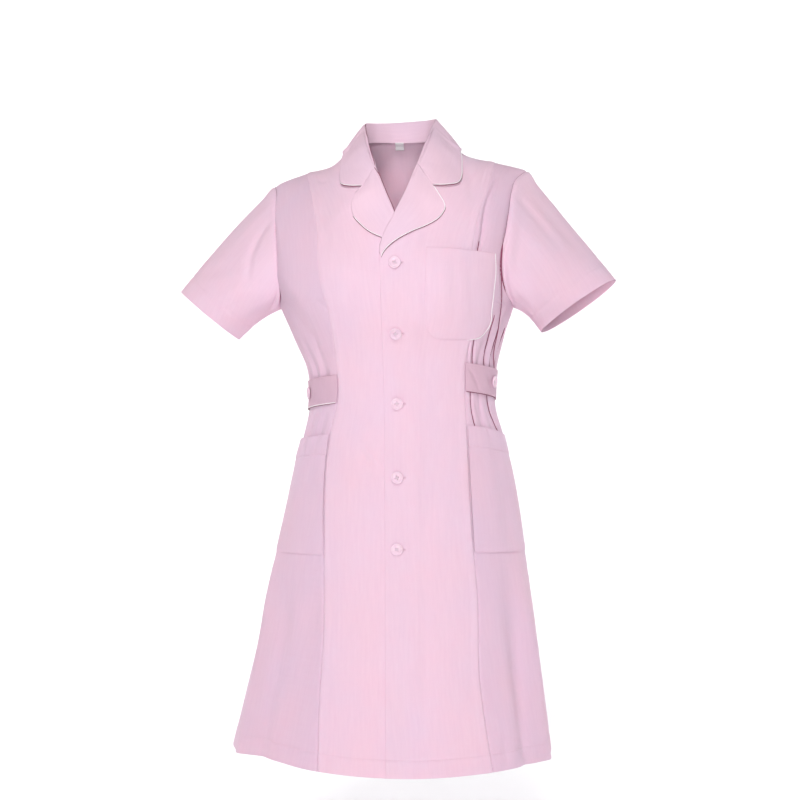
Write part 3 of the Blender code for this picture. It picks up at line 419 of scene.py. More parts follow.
EDGE_HIGHLIGHT_RADIUS = 0.0007  # radius of the fine turned edge round collar, lapels, pockets and tabs, its pale colour a painted highlight

# ---- colours, linear ----
PINK, LILAC, SHELL_PINK = (0.850, 0.600, 0.704), (0.814, 0.604, 0.728), (0.84, 0.585, 0.70)
# The next line's colours: the first is painted shade for the dark strands; the second is seam thread
# darkened with painted shade of the seam's groove.
PINK_SHADE, PINK_SEAM_SHADE = (0.30, 0.045, 0.115), (0.42, 0.20, 0.29)
# The first colour below is a painted highlight: the pale strand along the lit turned edges.
PINK_EDGE_HIGHLIGHT, PINK_THREAD, BUTTON_THREAD = (1.0, 0.94, 0.97), (0.83, 0.55, 0.67), (0.86, 0.72, 0.80)
LABEL_WHITE = (1.0, 0.98, 1.0)
# The tab and side tints darken copies of the cloth as painted shade: on the waist tabs, and on the side
# fronts and lower pockets.
PLAIN, TAB_SHADE_TINT, SIDE_SHADE_TINT = (1.0, 1.0, 1.0), (0.82, 0.76, 0.78), (0.93, 0.925, 0.945)


# ---------------------------------------------------------------- soft noise and creases


def soft_noise(points, size, seed):
    """Smooth noise from -1 to 1 over points shaped (..., 3). size is one lump's size along each axis."""
    scaled = np.asarray(points, float) / np.asarray(size, float)
    cell = np.floor(scaled).astype(np.int64)
    t = scaled - cell
    t = t * t * (3 - 2 * t)
    total = np.zeros(scaled.shape[:-1])
    for corner in np.ndindex(2, 2, 2):
        key = cell + np.array(corner)
        mixed = key[..., 0] * 73856093 ^ key[..., 1] * 19349663 ^ key[..., 2] * 83492791 ^ seed * 2654435
        mixed = ((mixed ^ (mixed >> 13)) * 1274126177) & 0xFFFFFFFF
        mixed = ((mixed ^ (mixed >> 15)) * 668265263) & 0xFFFFFFFF
        value = ((mixed ^ (mixed >> 16)) & 0xFFFF) / 32767.5 - 1
        total += value * np.prod(np.where(np.array(corner) == 1, t, 1 - t), axis=-1)
    return total


def unevenness(points, seed):
    """The slight waves of cloth that hangs."""
    return (
        0.0007 * soft_noise(points, (0.050, 0.050, 0.110), seed)
        + 0.0003 * soft_noise(points, (0.019, 0.019, 0.045), seed + 1)
        + 0.00010 * soft_noise(points, (0.007, 0.007, 0.012), seed + 2)
    )


def body_places(spots, steps=28):
    """A smooth line over the body through spots given as (a, z), as (a, level)."""
    a, z = refined(spots, steps).T
    v = level(np.full(np.shape(z), HALFWAY_X), z)
    for _ in range(8):
        v = level(body(a, v)[..., 0], z)
    return a, v


def creases_on_body(rows):
    """Creases as (path, half width, height, lean), from rows in millimetres with (a, z) along each."""
    made = []
    for half_width, rise, lean, *spots in rows:
        made.append((body(*body_places(spots)), half_width / 1000, rise / 1000, lean))
    return made


def crease_relief(points, outs, creases):
    """How far creases move points out. Each crease is (path, half width, height, lean): lean tips it over
    to one side, which is what a fold lying on its side looks like."""
    moved = np.zeros(points.shape[:-1])
    flat_points, flat_outs = points.reshape(-1, 3), outs.reshape(-1, 3)
    flat_moved = moved.reshape(-1)
    for path, half_width, rise, lean in creases:
        low, high = path.min(axis=0) - 3 * half_width, path.max(axis=0) + 3 * half_width
        near = np.flatnonzero(((flat_points > low) & (flat_points < high)).all(axis=1))
        if not len(near):
            continue
        away = flat_points[near][:, None] - path[None]
        squared = (away**2).sum(axis=2)
        nearest = squared.argmin(axis=1)
        along = unit(np.gradient(path, axis=0))[nearest]
        offset = away[np.arange(len(near)), nearest]
        side = (np.cross(along, flat_outs[near]) * offset).sum(axis=1) / half_width
        share = nearest / (len(path) - 1)
        taper = np.sin(math.pi * np.clip(share * 0.94 + 0.03, 0, 1)) ** 0.7
        shape = np.exp(-squared[np.arange(len(near)), nearest] / half_width**2)
        flat_moved[near] += rise * taper * shape * (1 + lean * side)
    return moved


# ---------------------------------------------------------------- meshes


def steps_between(length, cell, edge_steps=EDGE_STEPS):
    """Shares from 0 to 1 along a length, closer together near both ends."""
    edge = np.array(edge_steps)
    middle = np.linspace(edge[-1], length - edge[-1], max(int((length - 2 * edge[-1]) / cell), 2) + 1)
    return np.concatenate([edge[:-1], middle, length - edge[-2::-1]]) / length


def running(grid, axis):
    """Distance along a grid's rows (axis 1) or columns (axis 0), from its first point."""
    lengths = np.linalg.norm(np.diff(grid, axis=axis), axis=-1)
    zero = np.zeros_like(np.take(lengths, [0], axis=axis))
    return np.concatenate([zero, np.cumsum(lengths, axis=axis)], axis=axis)


def to_edges(grid):
    """Distances over a grid of points: to its first and last column, to the nearer one of the two, and
    to its lowest and highest row."""
    along, up = running(grid, 1), running(grid, 0)
    other = along[:, -1:] - along
    return along, other, np.minimum(along, other), up, up[-1:] - up


def mesh_object(name, points, faces, cloth_map=None):
    """A smooth-shaded object from arrays of points and faces of four corners, with its map in metres."""
    mesh = bpy.data.meshes.new(name)
    points, faces = np.asarray(points, np.float32), np.asarray(faces, np.int32)
    mesh.vertices.add(len(points))
    mesh.vertices.foreach_set("co", points.reshape(-1))
    mesh.loops.add(faces.size)
    mesh.loops.foreach_set("vertex_index", faces.reshape(-1))
    mesh.polygons.add(len(faces))
    mesh.polygons.foreach_set("loop_start", np.arange(0, faces.size, faces.shape[1], dtype=np.int32))
    mesh.update(calc_edges=True)
    mesh.validate()
    if cloth_map is not None:
        layer = mesh.uv_layers.new(name="cloth")
        layer.uv.foreach_set("vector", np.asarray(cloth_map, np.float32)[faces.reshape(-1)].reshape(-1))
    mesh.shade_smooth()
    return linked(name, mesh)


def linked(name, data):
    """An object of the scene with this mesh, light or camera."""
    made = bpy.data.objects.new(name, data)
    bpy.context.scene.collection.objects.link(made)
    return made


def grid_faces(rows, columns, first=0, closed=False, turned=False):
    """Faces of four corners over a grid of points numbered row by row."""
    i, j = np.meshgrid(np.arange(rows - 1), np.arange(columns if closed else columns - 1), indexing="ij")
    k = (j + 1) % columns
    corners = [i * columns + j, i * columns + k, (i + 1) * columns + k, (i + 1) * columns + j]
    faces = np.stack(corners, axis=-1).reshape(-1, 4) + first
    return faces[:, ::-1] if turned else faces


def shell(name, inside, outside, closed=False):
    """Cloth between two grids of points: both faces and the edges that join them."""
    rows, columns = inside.shape[:2]
    count = rows * columns
    number = np.arange(count).reshape(rows, columns)
    faces = [grid_faces(rows, columns, 0, closed, True), grid_faces(rows, columns, count, closed)]
    rims = [(number[0], False, closed), (number[-1], True, closed)]
    if not closed:
        rims += [(number[:, 0], True, False), (number[:, -1], False, False)]
    for line, turned, round_it in rims:
        after = np.roll(line, -1) if round_it else line[1:]
        before = line if round_it else line[:-1]
        strip = np.stack([before, after, after + count, before + count], axis=1)
        faces.append(strip[:, ::-1] if turned else strip)
    across_it = running(outside, 1)
    across_it = across_it - across_it[:, columns // 2 : columns // 2 + 1]
    cloth_map = np.stack([across_it, running(outside, 0)], axis=-1).reshape(-1, 2)
    points = np.concatenate([inside.reshape(-1, 3), outside.reshape(-1, 3)])
    return mesh_object(name, points, np.concatenate(faces), np.concatenate([cloth_map, cloth_map]))


def laid(name, base, outs, lift, thick=THIN):
    """Cloth over a grid of points, lifted off it: the object, its outer face and the directions out."""
    inside = base + outs * lift[..., None]
    outside = inside + outs * thick
    return shell(name, inside, outside), outside, outs


def strands(name, lines, sides):
    """Round strands as one object. Each line is (centres, up, side, radii)."""
    points, faces, count = [], [], 0
    turn = np.linspace(0, 2 * math.pi, sides, endpoint=False)[None, :, None]
    for centres, up, side, radii in lines:
        ring = (np.cos(turn) * up[:, None] + np.sin(turn) * side[:, None]) * radii[:, None, None]
        points.append((centres[:, None] + ring).reshape(-1, 3))
        faces.append(grid_faces(len(centres), sides, count, True))
        count += sides * len(centres)
    return mesh_object(name, np.concatenate(points), np.concatenate(faces))


def line_strands(name, lines, radius=EDGE_HIGHLIGHT_RADIUS):
    """Strands along lines as one object: turned edges with a painted highlight, painted shade lines, seams
    and buttonhole edges. Each line is (path, outs); it thins out towards its ends.
    """
    made = []
    for path, outs in lines:
        along = unit(np.gradient(path, axis=0))
        up = unit(across(outs, along))
        ends = np.minimum(np.arange(len(path)), np.arange(len(path))[::-1])
        made.append((path, up, np.cross(along, up), radius * np.clip(0.25 + ends * 0.3, 0, 1)))
    return strands(name, made, 8)


STITCH, STITCH_GAP, STITCH_RADIUS = 0.0021, 0.0008, 0.00022
STITCH_SHARES, STITCH_WIDTHS = np.array([-0.5, -0.3, 0.3, 0.5]), np.array([0.25, 0.9, 0.9, 0.25])


def stitches(name, lines):
    """Rows of stitches, as one object. Each line is (path, outs): points on the cloth and its directions."""
    made = []
    for path, outs in lines:
        run = np.concatenate([[0], np.cumsum(np.linalg.norm(np.diff(path, axis=0), axis=1))])
        at = np.arange(STITCH / 2, run[-1] - STITCH / 2, STITCH + STITCH_GAP)

        def along_path(rows, places):
            return np.stack([np.interp(places, run, rows[:, k]) for k in range(3)], axis=1)

        middles, outwards = along_path(path, at), unit(along_path(outs, at))
        forwards = unit(along_path(path, at + 0.0004) - middles)
        for middle, forward, up in zip(middles, forwards, outwards):
            centres = middle + forward * (STITCH_SHARES * STITCH)[:, None] + up * STITCH_RADIUS * 0.35
            side = np.cross(forward, up)
            ups, sides = np.tile(up, (4, 1)), np.tile(side, (4, 1))
            made.append((centres, ups, sides, STITCH_RADIUS * STITCH_WIDTHS))
    return strands(name, made, 5)


# ---------------------------------------------------------------- the main creases

# On the body: half width and height in millimetres (below 0 is a trough), lean, then (a, z) along it.
BODY_CREASES = (
    # wearer's right: sleeve head, underarm and bust
    (9, -2.0, 0.5, (-0.7, -0.03), (-0.78, -0.08), (-0.8, -0.12), (-0.74, -0.17)),
    (14, 2.2, 0.3, (-0.86, -0.185), (-0.62, -0.215), (-0.42, -0.282)),
    (10, -2.0, 0.0, (-0.94, -0.222), (-0.7, -0.252), (-0.5, -0.315)),
    (3.5, -1.6, 0.6, (-0.395, -0.248), (-0.355, -0.257), (-0.33, -0.267)),
    (16, -1.6, 0.4, (-0.22, -0.074), (-0.29, -0.112), (-0.36, -0.14)),
    (3.5, -1.5, 0.5, (-0.385, -0.052), (-0.35, -0.058), (-0.315, -0.056)),
    # wearer's right: waist
    (5, -1.1, 0.4, (-0.5, -0.292), (-0.54, -0.33), (-0.56, -0.366)),
    (6, -1.4, -0.3, (-0.66, -0.3), (-0.71, -0.34), (-0.73, -0.372)),
    (5, -1.2, 0.3, (-0.84, -0.306), (-0.87, -0.345), (-0.88, -0.374)),
    (5, -1.2, 0.5, (-0.6, -0.398), (-0.64, -0.43), (-0.66, -0.47)),
    (6, -1.1, -0.4, (-0.8, -0.4), (-0.83, -0.44), (-0.84, -0.486)),
    # wearer's right: skirt
    (20, 3.2, 0.3, (-0.84, -0.65), (-0.66, -0.78), (-0.56, -0.95)),
    (17, -3.0, 0.2, (-0.66, -0.67), (-0.48, -0.8), (-0.42, -0.955)),
    (22, -6.5, 0.0, (-0.38, -0.66), (-0.38, -0.8), (-0.38, -0.958)),
    (6, 1.4, 0.9, (-0.185, -0.46), (-0.125, -0.479), (-0.062, -0.499)),
    (9, -1.6, 0.3, (-0.215, -0.47), (-0.15, -0.492), (-0.085, -0.515)),
    (15, -1.3, 0.5, (-0.225, -0.548), (-0.14, -0.592), (-0.075, -0.64)),
    # wearer's left: shoulder to pocket
    (4, -3.6, 0.9, (0.423, -0.176), (0.443, -0.146), (0.458, -0.096), (0.52, -0.052)),
    (9, 1.8, -0.3, (0.5, -0.176), (0.52, -0.14), (0.545, -0.095), (0.62, -0.05)),
    (9, -1.6, 0.4, (0.335, -0.04), (0.362, -0.066), (0.375, -0.096)),
    (8, -1.8, 0.3, (0.7, -0.08), (0.66, -0.14), (0.62, -0.2)),
    (2.2, -4.2, 0.5, (0.61, -0.188), (0.68, -0.245), (0.77, -0.3), (0.85, -0.348)),
    (6, 1.2, 0.0, (0.76, -0.245), (0.745, -0.29), (0.76, -0.33)),
    # wearer's left: gathers over the tab, then under it
    (1.8, -5.0, 0.5, (0.5, -0.294), (0.514, -0.324), (0.536, -0.352)),
    (1.8, -1.8, 0.8, (0.47, -0.312), (0.476, -0.332), (0.492, -0.35)),
    (2.2, -4.2, -0.5, (0.64, -0.268), (0.668, -0.32), (0.705, -0.354)),
    (2.0, -3.6, 0.6, (0.745, -0.285), (0.762, -0.325), (0.8, -0.356)),
    (2.6, -3.8, 0.4, (0.88, -0.285), (0.9, -0.325), (0.93, -0.358)),
    (1.9, -4.6, -0.5, (0.52, -0.372), (0.53, -0.408), (0.522, -0.445)),
    (2.0, -4.4, 0.5, (0.72, -0.376), (0.78, -0.414), (0.812, -0.452)),
    (3.4, -3.0, -0.3, (0.9, -0.38), (0.95, -0.416), (0.968, -0.458)),
    (3.0, -2.2, 0.4, (0.62, -0.378), (0.64, -0.404), (0.652, -0.43)),
    # wearer's left: skirt
    (17, -6.8, 0.3, (0.63, -0.65), (0.622, -0.79), (0.61, -0.955)),
    (18, 3.0, 0.0, (0.79, -0.665), (0.77, -0.8), (0.76, -0.955)),
    (12, 1.6, 0.0, (0.54, -0.72), (0.53, -0.85), (0.52, -0.95)),
    (5, -1.2, 0.4, (0.474, -0.898), (0.478, -0.93), (0.48, -0.957)),
    (6, -1.2, 0.5, (0.8, -0.895), (0.818, -0.928), (0.84, -0.957)),
    (18, -1.5, -0.4, (0.3, -0.5), (0.19, -0.552), (0.1, -0.61)),
    (14, 1.0, 0.3, (0.34, -0.52), (0.24, -0.57), (0.15, -0.635)),
    (9, -1.1, 0.6, (0.3, -0.385), (0.25, -0.415), (0.19, -0.44)),
    (22, 1.5, 0.0, (0.24, -0.7), (0.21, -0.82), (0.225, -0.94)),
    # back: shoulder blades, armholes, waist and skirt
    (16, -2.0, 0.3, (1.36, -0.05), (1.44, -0.12), (1.62, -0.19)),
    (14, -1.8, -0.3, (2.66, -0.06), (2.58, -0.125), (2.42, -0.185)),
    (12, -2.2, 0.3, (1.1, -0.18), (1.26, -0.225), (1.44, -0.3)),
    (12, -2.0, -0.2, (2.88, -0.19), (2.74, -0.235), (2.54, -0.31)),
    (10, 1.6, 0.3, (1.16, -0.215), (1.32, -0.262), (1.5, -0.33)),
    (11, 1.5, 0.0, (2.84, -0.225), (2.66, -0.275), (2.5, -0.345)),
    (7, -2.4, 0.5, (1.2, -0.29), (1.24, -0.33), (1.23, -0.378)),
    (6, -2.0, -0.4, (1.36, -0.31), (1.37, -0.35), (1.34, -0.4)),
    (7, -2.4, 0.4, (2.8, -0.29), (2.76, -0.335), (2.78, -0.385)),
    (6, -1.8, 0.5, (2.64, -0.315), (2.63, -0.36), (2.66, -0.405)),
    (8, -2.2, 0.4, (1.24, -0.385), (1.28, -0.43), (1.26, -0.49)),
    (7, -2.0, -0.4, (2.76, -0.39), (2.72, -0.44), (2.74, -0.5)),
    (9, -1.3, 0.6, (1.6, -0.352), (1.78, -0.366), (1.98, -0.36)),
    (9, 1.1, 0.4, (1.72, -0.385), (1.92, -0.394), (2.16, -0.384)),
    (8, -1.0, 0.5, (2.02, -0.334), (2.22, -0.344), (2.42, -0.336)),
    (22, 3.0, 0.2, (1.44, -0.56), (1.48, -0.74), (1.5, -0.955)),
    (20, -2.8, 0.2, (1.66, -0.6), (1.68, -0.78), (1.7, -0.955)),
    (24, 2.6, -0.2, (1.92, -0.58), (1.9, -0.76), (1.88, -0.955)),
    (20, -2.6, 0.2, (2.14, -0.64), (2.16, -0.8), (2.18, -0.955)),
    (22, 2.8, -0.2, (2.38, -0.58), (2.4, -0.76), (2.42, -0.955)),
    (18, -2.4, 0.2, (2.6, -0.62), (2.62, -0.79), (2.66, -0.955)),
)
ALL_BODY_CREASES = creases_on_body(BODY_CREASES)

# On the patches and tabs that lie on it.
CHEST_POCKET_CREASES = (
    (7, -0.9, 0.3, (0.285, -0.178), (0.312, -0.235), (0.322, -0.29)),
    (8, 0.9, 0.0, (0.34, -0.18), (0.372, -0.235), (0.402, -0.285)),
    (8, -1.0, 0.4, (0.375, -0.182), (0.41, -0.24), (0.45, -0.28)),
    (8, 0.8, 0.0, (0.23, -0.185), (0.238, -0.24), (0.242, -0.29)),
)
POCKET_CREASES = {
    "left": (
        (12, -1.8, 0.3, (0.7, -0.48), (0.692, -0.56), (0.69, -0.63)),
        (12, 1.4, 0.0, (0.56, -0.48), (0.56, -0.55), (0.555, -0.62)),
        (10, 1.2, 0.0, (0.84, -0.48), (0.85, -0.56), (0.86, -0.63)),
    ),
    "right": (
        (11, -1.6, 0.3, (-0.54, -0.5), (-0.51, -0.555), (-0.47, -0.615)),
        (12, 1.3, 0.0, (-0.7, -0.49), (-0.69, -0.56), (-0.68, -0.63)),
        (9, -1.0, 0.3, (-0.86, -0.48), (-0.85, -0.56), (-0.85, -0.62)),
    ),
}
TAB_CREASES = {
    "left": (
        (3, -2.6, 0.6, (0.478, -0.346), (0.56, -0.366), (0.615, -0.386)),
        (3.5, -2.2, 0.5, (0.69, -0.353), (0.765, -0.375), (0.85, -0.398)),
        (6, 0.7, 0.0, (0.64, -0.35), (0.69, -0.372), (0.74, -0.392)),
    ),
    "right": (
        (4, -1.0, -0.6, (-0.52, -0.402), (-0.545, -0.385), (-0.57, -0.366)),
        (6, -0.7, 0.4, (-0.76, -0.366), (-0.8, -0.384), (-0.83, -0.402)),
    ),
}

# On a sleeve: half width and height in millimetres, lean, then (round, down): round is 0 at the underarm,
# 0.5 at the shoulder by way of the front and 1 at the underarm again, down is 0 at the armhole.
SLEEVE_CREASES = {
    "right": (
        (7, -3.0, 0.5, (0.36, 0.02), (0.34, 0.16), (0.29, 0.3), (0.22, 0.4)),
        (10, 2.0, 0.0, (0.42, 0.05), (0.41, 0.25), (0.38, 0.45)),
        (4, -3.0, -0.6, (0.14, 0.02), (0.09, 0.12), (0.05, 0.24)),
        (5, 2.0, 0.0, (0.09, 0.02), (0.06, 0.1), (0.03, 0.18)),
        (14, -2.0, 0.3, (0.3, 0.42), (0.34, 0.62), (0.4, 0.8)),
        (12, 1.6, 0.3, (0.17, 0.34), (0.22, 0.55), (0.24, 0.82)),
        (7, -1.6, 0.6, (0.185, 0.66), (0.195, 0.8), (0.2, 0.96)),
        (12, -2.4, 0.3, (0.62, 0.06), (0.66, 0.26), (0.74, 0.46)),
        (10, 1.8, 0.0, (0.72, 0.1), (0.77, 0.32), (0.84, 0.5)),
        (8, -2.2, 0.4, (0.86, 0.04), (0.9, 0.18), (0.94, 0.34)),
    ),
    "left": (
        (9, -2.4, 0.3, (0.4, 0.05), (0.385, 0.3), (0.36, 0.56)),
        (14, 2.2, 0.0, (0.33, 0.06), (0.31, 0.34), (0.29, 0.62)),
        (12, -2.0, 0.4, (0.44, 0.18), (0.43, 0.46), (0.41, 0.76)),
        (5, -6.0, 0.2, (0.28, 0.035), (0.21, 0.045), (0.14, 0.05), (0.06, 0.05)),
        (8, -2.0, 0.5, (0.18, 0.08), (0.13, 0.26), (0.1, 0.46)),
        (12, 1.6, 0.2, (0.22, 0.3), (0.2, 0.55), (0.2, 0.8)),
        (6, 1.4, 0.4, (0.06, 0.05), (0.05, 0.14), (0.03, 0.24)),
        (12, -2.4, 0.3, (0.62, 0.06), (0.66, 0.28), (0.72, 0.5)),
        (10, 1.8, 0.0, (0.73, 0.1), (0.78, 0.3), (0.86, 0.48)),
        (8, -2.2, 0.4, (0.87, 0.04), (0.91, 0.18), (0.95, 0.32)),
    ),
}

# On the collar: half width and height in millimetres, then (share of the way round, share of the fall).
COLLAR_CREASES = (
    (9, 1.2, (0.13, 0.2), (0.16, 0.6), (0.15, 0.95)),
    (8, -1.2, (0.2, 0.1), (0.23, 0.5), (0.22, 0.9)),
    (9, 1.1, (0.36, 0.2), (0.37, 0.6), (0.36, 0.95)),
    (10, -1.2, (0.47, 0.1), (0.48, 0.5), (0.5, 0.9)),
    (9, 1.2, (0.6, 0.2), (0.6, 0.6), (0.61, 0.95)),
    (8, -1.1, (0.78, 0.1), (0.76, 0.5), (0.78, 0.9)),
    (9, 1.2, (0.88, 0.2), (0.85, 0.6), (0.86, 0.95)),
)


# ---------------------------------------------------------------- body panels


def fine_levels():
    """Rows that all panels share: close together at the hem's fold and its stitching."""
    hem = np.array([0, 0.0008, 0.002, 0.005, 0.010, 0.015, 0.020, 0.0235, 0.0250, 0.0260, 0.0270, 0.0285])
    skirt = np.arange(0.032, UNDERARM_Z - HEM_Z, CELL)
    lower = np.concatenate([hem, skirt, [UNDERARM_Z - HEM_Z]]) / (UNDERARM_Z - HEM_Z)
    return np.concatenate([lower, np.linspace(1, 2, 34)[1:], np.linspace(2, 3, 44)[1:]])


def thin_lap(points):
    """How far the left front stands off, where it laps over the right front and its lapel."""
    x, z = points[..., 0], points[..., 2]
    over_front = ease(x, 0.050, 0.030) * ease(z, -0.090, -0.120)
    over_lapel = ease(z, -0.190, -0.168) * ease(z, -0.085, -0.108) * ease(x, 0.050, 0.020)
    return THIN_LAP * (over_front + 0.8 * over_lapel)


def seam_line(distance, z):
    """The fine groove of a seam, at a distance from it: crisp on the skirt and soft above the waist."""
    deep = SEAM_SHALLOW + (SEAM_DEEP - SEAM_SHALLOW) * ease(z, -0.34, -0.44)
    return -deep * bell(distance, SEAM_WIDE)


def hem_relief(up, points):
    """The double layer of a hem, its row of stitches and the small puckers beside it."""
    folded = HEM_HIGH * ease(up, HEM + 0.001, HEM - 0.001) - 0.0005 * bell(up - HEM, 0.0010)
    pucker = 0.00035 * soft_noise(points, (0.0065, 0.0065, 0.05), 61) * bell(up - HEM, 0.010)
    return folded + pucker - 0.0004 * bell(up, 0.0012)


def panel_lift(base, outs, kinds):
    """How far a panel lies off the body surface, with its creases, hem and seams. The kinds of its first
    and last column are edge, plain, seam or pressed (a seam whose turned edges lie under the panel)."""
    along, other, _, up, _ = to_edges(base)
    lift = PANEL_LIFT + unevenness(base, 7) + crease_relief(base, outs, ALL_BODY_CREASES)
    lift = lift + hem_relief(up, base)
    for distance, kind in zip((along, other), kinds):
        if kind != "edge":
            lift = lift + seam_line(distance, base[..., 2])
        if kind in ("seam", "pressed"):
            lift = lift + 0.00025 * soft_noise(base, (0.02, 0.02, 0.011), 19) * bell(distance, 0.010)
        if kind == "pressed":
            lift = lift + ALLOWANCE_HIGH * ease(distance, ALLOWANCE + 0.001, ALLOWANCE - 0.0015)
    return lift


PANEL_WIDTH, BACK_WIDTH = 0.150, 0.500  # about, to space their columns


def front_panel(name, start, end, v, kinds, cell=CELL):
    """A panel between two seams, from the front's middle outwards. start and end give a on each level."""
    if name.endswith("right"):
        start, end, kinds = end, start, kinds[::-1]
    a = start[:, None] + (end - start)[:, None] * steps_between(PANEL_WIDTH, cell)
    base, outs = body(a, v[:, None]), normal(a, v[:, None])
    lift = panel_lift(base, outs, kinds)
    if name == "front_left":
        lift = lift + thin_lap(base)
    return laid(f"shell_{name}", base, outs, lift)


DART_X, DART_TOP, DART_LOW = 0.086, -0.205, -0.545  # the waist darts of the back
BACK_CELL = 0.0042


def back(v):
    left, right = armhole_a("left", v, BACK_X), armhole_a("right", v, BACK_X) + 4
    a = left[:, None] + (right - left)[:, None] * steps_between(BACK_WIDTH, BACK_CELL)
    rows = np.broadcast_to(v[:, None], a.shape)
    x = body(a, rows)[..., 0]
    neck_top = level(x, back_neck_z(x)) - 0.004
    limit = np.where(np.abs(x) < BACK_NECK_HALF, neck_top, rows)
    squeeze = ease(rows, 2.0, 3.0)
    rows = rows * (1 - squeeze) + np.minimum(rows, limit) * squeeze
    base, outs = body(a, rows), normal(a, rows)
    lift = panel_lift(base, outs, ("plain", "plain"))
    for sign in SIDES.values():
        lift = lift + dart_relief(base, sign)
    return laid("shell_back", base, outs, lift)


def dart_relief(points, sign):
    """A waist dart of the back: a fine stitched line that fades out at both ends."""
    x, z = points[..., 0] * sign, points[..., 2]
    over_waist = ease(z, DART_TOP, DART_TOP - 0.05) * ease(z, DART_LOW, DART_LOW + 0.05)
    pressed = 0.00030 * ease(x, DART_X - 0.012, DART_X - 0.009) * (x < DART_X)
    return (points[..., 1] > 0) * over_waist * (pressed - 0.0009 * bell(x - DART_X, 0.0014))


# ---------------------------------------------------------------- sleeves

CAP_HIGH = {"left": 0.0030, "right": 0.0016}  # how far a sleeve's head stands proud of its seam
SLEEVE_LENGTH, SLEEVE_CELL = 0.200, 0.0030
SLEEVE_HEM_AT = 1 - SLEEVE_HEM / SLEEVE_LENGTH  # the share of the way down at which the hem starts


def ring_outs(grid):
    """Unit vectors square to a grid whose rows close up into rings."""
    round_it = np.roll(grid, -1, axis=1) - np.roll(grid, 1, axis=1)
    return unit(np.cross(round_it, np.gradient(grid, axis=0)))


def armhole_ring(side, v):
    """Points evenly spaced round the armhole seam, from the underarm by way of the front, with the
    shoulder half way."""
    front_a, back_a = armhole_a(side, v, FRONT_X), armhole_a(side, v, BACK_X)
    loop = on_body(np.concatenate([front_a, back_a[-2:0:-1]]), np.concatenate([v, v[-2:0:-1]]), PANEL_LIFT)
    lengths = np.linalg.norm(np.roll(loop, -1, axis=0) - loop, axis=1)
    share = np.concatenate([[0], np.cumsum(lengths)[:-1]]) / lengths.sum()
    top = len(v) - 1
    first_half = share / share[top] * 0.5
    second_half = 0.5 + (share - share[top]) / (1 - share[top]) * 0.5
    share = np.append(np.where(np.arange(len(share)) <= top, first_half, second_half), 1)
    even = np.linspace(0, 1, len(loop), endpoint=False)
    closed = np.vstack([loop, loop[:1]])
    return np.stack([np.interp(even, share, closed[:, k]) for k in range(3)], axis=1), even


def sleeve_grid(side, v):
    """A smooth tube from the armhole seam to the cuff: its points in rings, the share of the way down of
    each ring, and the angle round it of each column."""
    sign, cuff = SIDES[side], CUFF[side]
    start, even = armhole_ring(side, v[v >= 1 - 1e-9])
    turn = even * 2 * math.pi
    slant = math.radians(cuff["slant"])
    up = np.array([sign * math.cos(slant), 0.0, math.sin(slant)])
    axis = np.array([sign * math.sin(slant), 0.0, -math.cos(slant)])
    ahead = np.array([0.0, -1.0, 0.0]) - axis * cuff["open"] / cuff["depth"]
    rounded = -np.cos(turn)[:, None] * up * cuff["width"] / 2
    end = np.array(cuff["middle"]) + rounded + np.sin(turn)[:, None] * ahead * cuff["depth"] / 2
    at_hem = SLEEVE_HEM_AT + np.array([-0.012, -0.006, 0, 0.006, 0.012])
    w_rows = np.unique(np.concatenate([steps_between(SLEEVE_LENGTH, SLEEVE_CELL, CUFF_STEPS), at_hem]))
    grid = []
    for w in w_rows:
        ring, bowed = start * (1 - w) + end * w, math.sin(math.pi * w)
        ring[:, 1] -= SLEEVE_FULLNESS * bowed * np.abs(np.sin(turn)) * np.sign(np.sin(turn))
        ring[:, 2] += UNDERARM_TUCK * bowed * np.maximum(np.cos(turn), 0) ** 2
        ring[:, 2] += cuff["rise"] * bowed * np.maximum(-np.cos(turn), 0) ** 2
        grid.append(ring)
    return np.array(grid), w_rows, turn


def sleeve_creases(side, grid, w_rows):
    """The sleeve's creases, each along the nearest points of its grid."""
    creases = []
    for half_width, rise, lean, *spots in SLEEVE_CREASES[side]:
        around, along = refined(spots, 26).T
        row = np.round(np.interp(along, w_rows, np.arange(len(w_rows)))).astype(int)
        path = grid[row, np.round(around * grid.shape[1]).astype(int) % grid.shape[1]]
        path[1:-1] = (path[:-2] + path[1:-1] * 2 + path[2:]) / 4
        creases.append((path, half_width / 1000, rise / 1000, lean))
    return creases


def sleeve(side, v):
    """A tube from the armhole seam to the cuff, with the number of its hem's row last."""
    grid, w_rows, turn = sleeve_grid(side, v)
    outs = ring_outs(grid)
    if ((grid - grid.reshape(-1, 3).mean(axis=0)) * outs).sum() < 0:
        outs = -outs
    _, _, _, down, to_cuff = to_edges(grid)
    lift = unevenness(grid, 23 if side == "left" else 29)
    lift = lift + crease_relief(grid, outs, sleeve_creases(side, grid, w_rows)) * ease(down, 0.0, 0.006)
    over_top = ease(-np.cos(turn), -0.9, 0.3) * ease(down, 0.0005, 0.006) * ease(down, 0.030, 0.008)
    lift = lift + CAP_HIGH[side] * over_top - 0.0010 * bell(down, SEAM_WIDE)
    lift = lift + HEM_HIGH * ease(to_cuff, SLEEVE_HEM + 0.001, SLEEVE_HEM - 0.001)
    lift = lift - 0.0004 * bell(to_cuff - SLEEVE_HEM, 0.0012)
    lift = lift + 0.0003 * soft_noise(grid, (0.007, 0.007, 0.007), 71) * bell(to_cuff - SLEEVE_HEM, 0.010)
    inside = grid + outs * lift[..., None]
    outside = inside + outs * THIN
    if side == "right":
        inside, outside = inside[:, ::-1], outside[:, ::-1]
    made = shell(f"shell_sleeve_{side}", inside, outside, closed=True)
    return made, outside, ring_outs(outside), int(np.argmin(np.abs(w_rows - SLEEVE_HEM_AT)))


# ---------------------------------------------------------------- collar and lapels

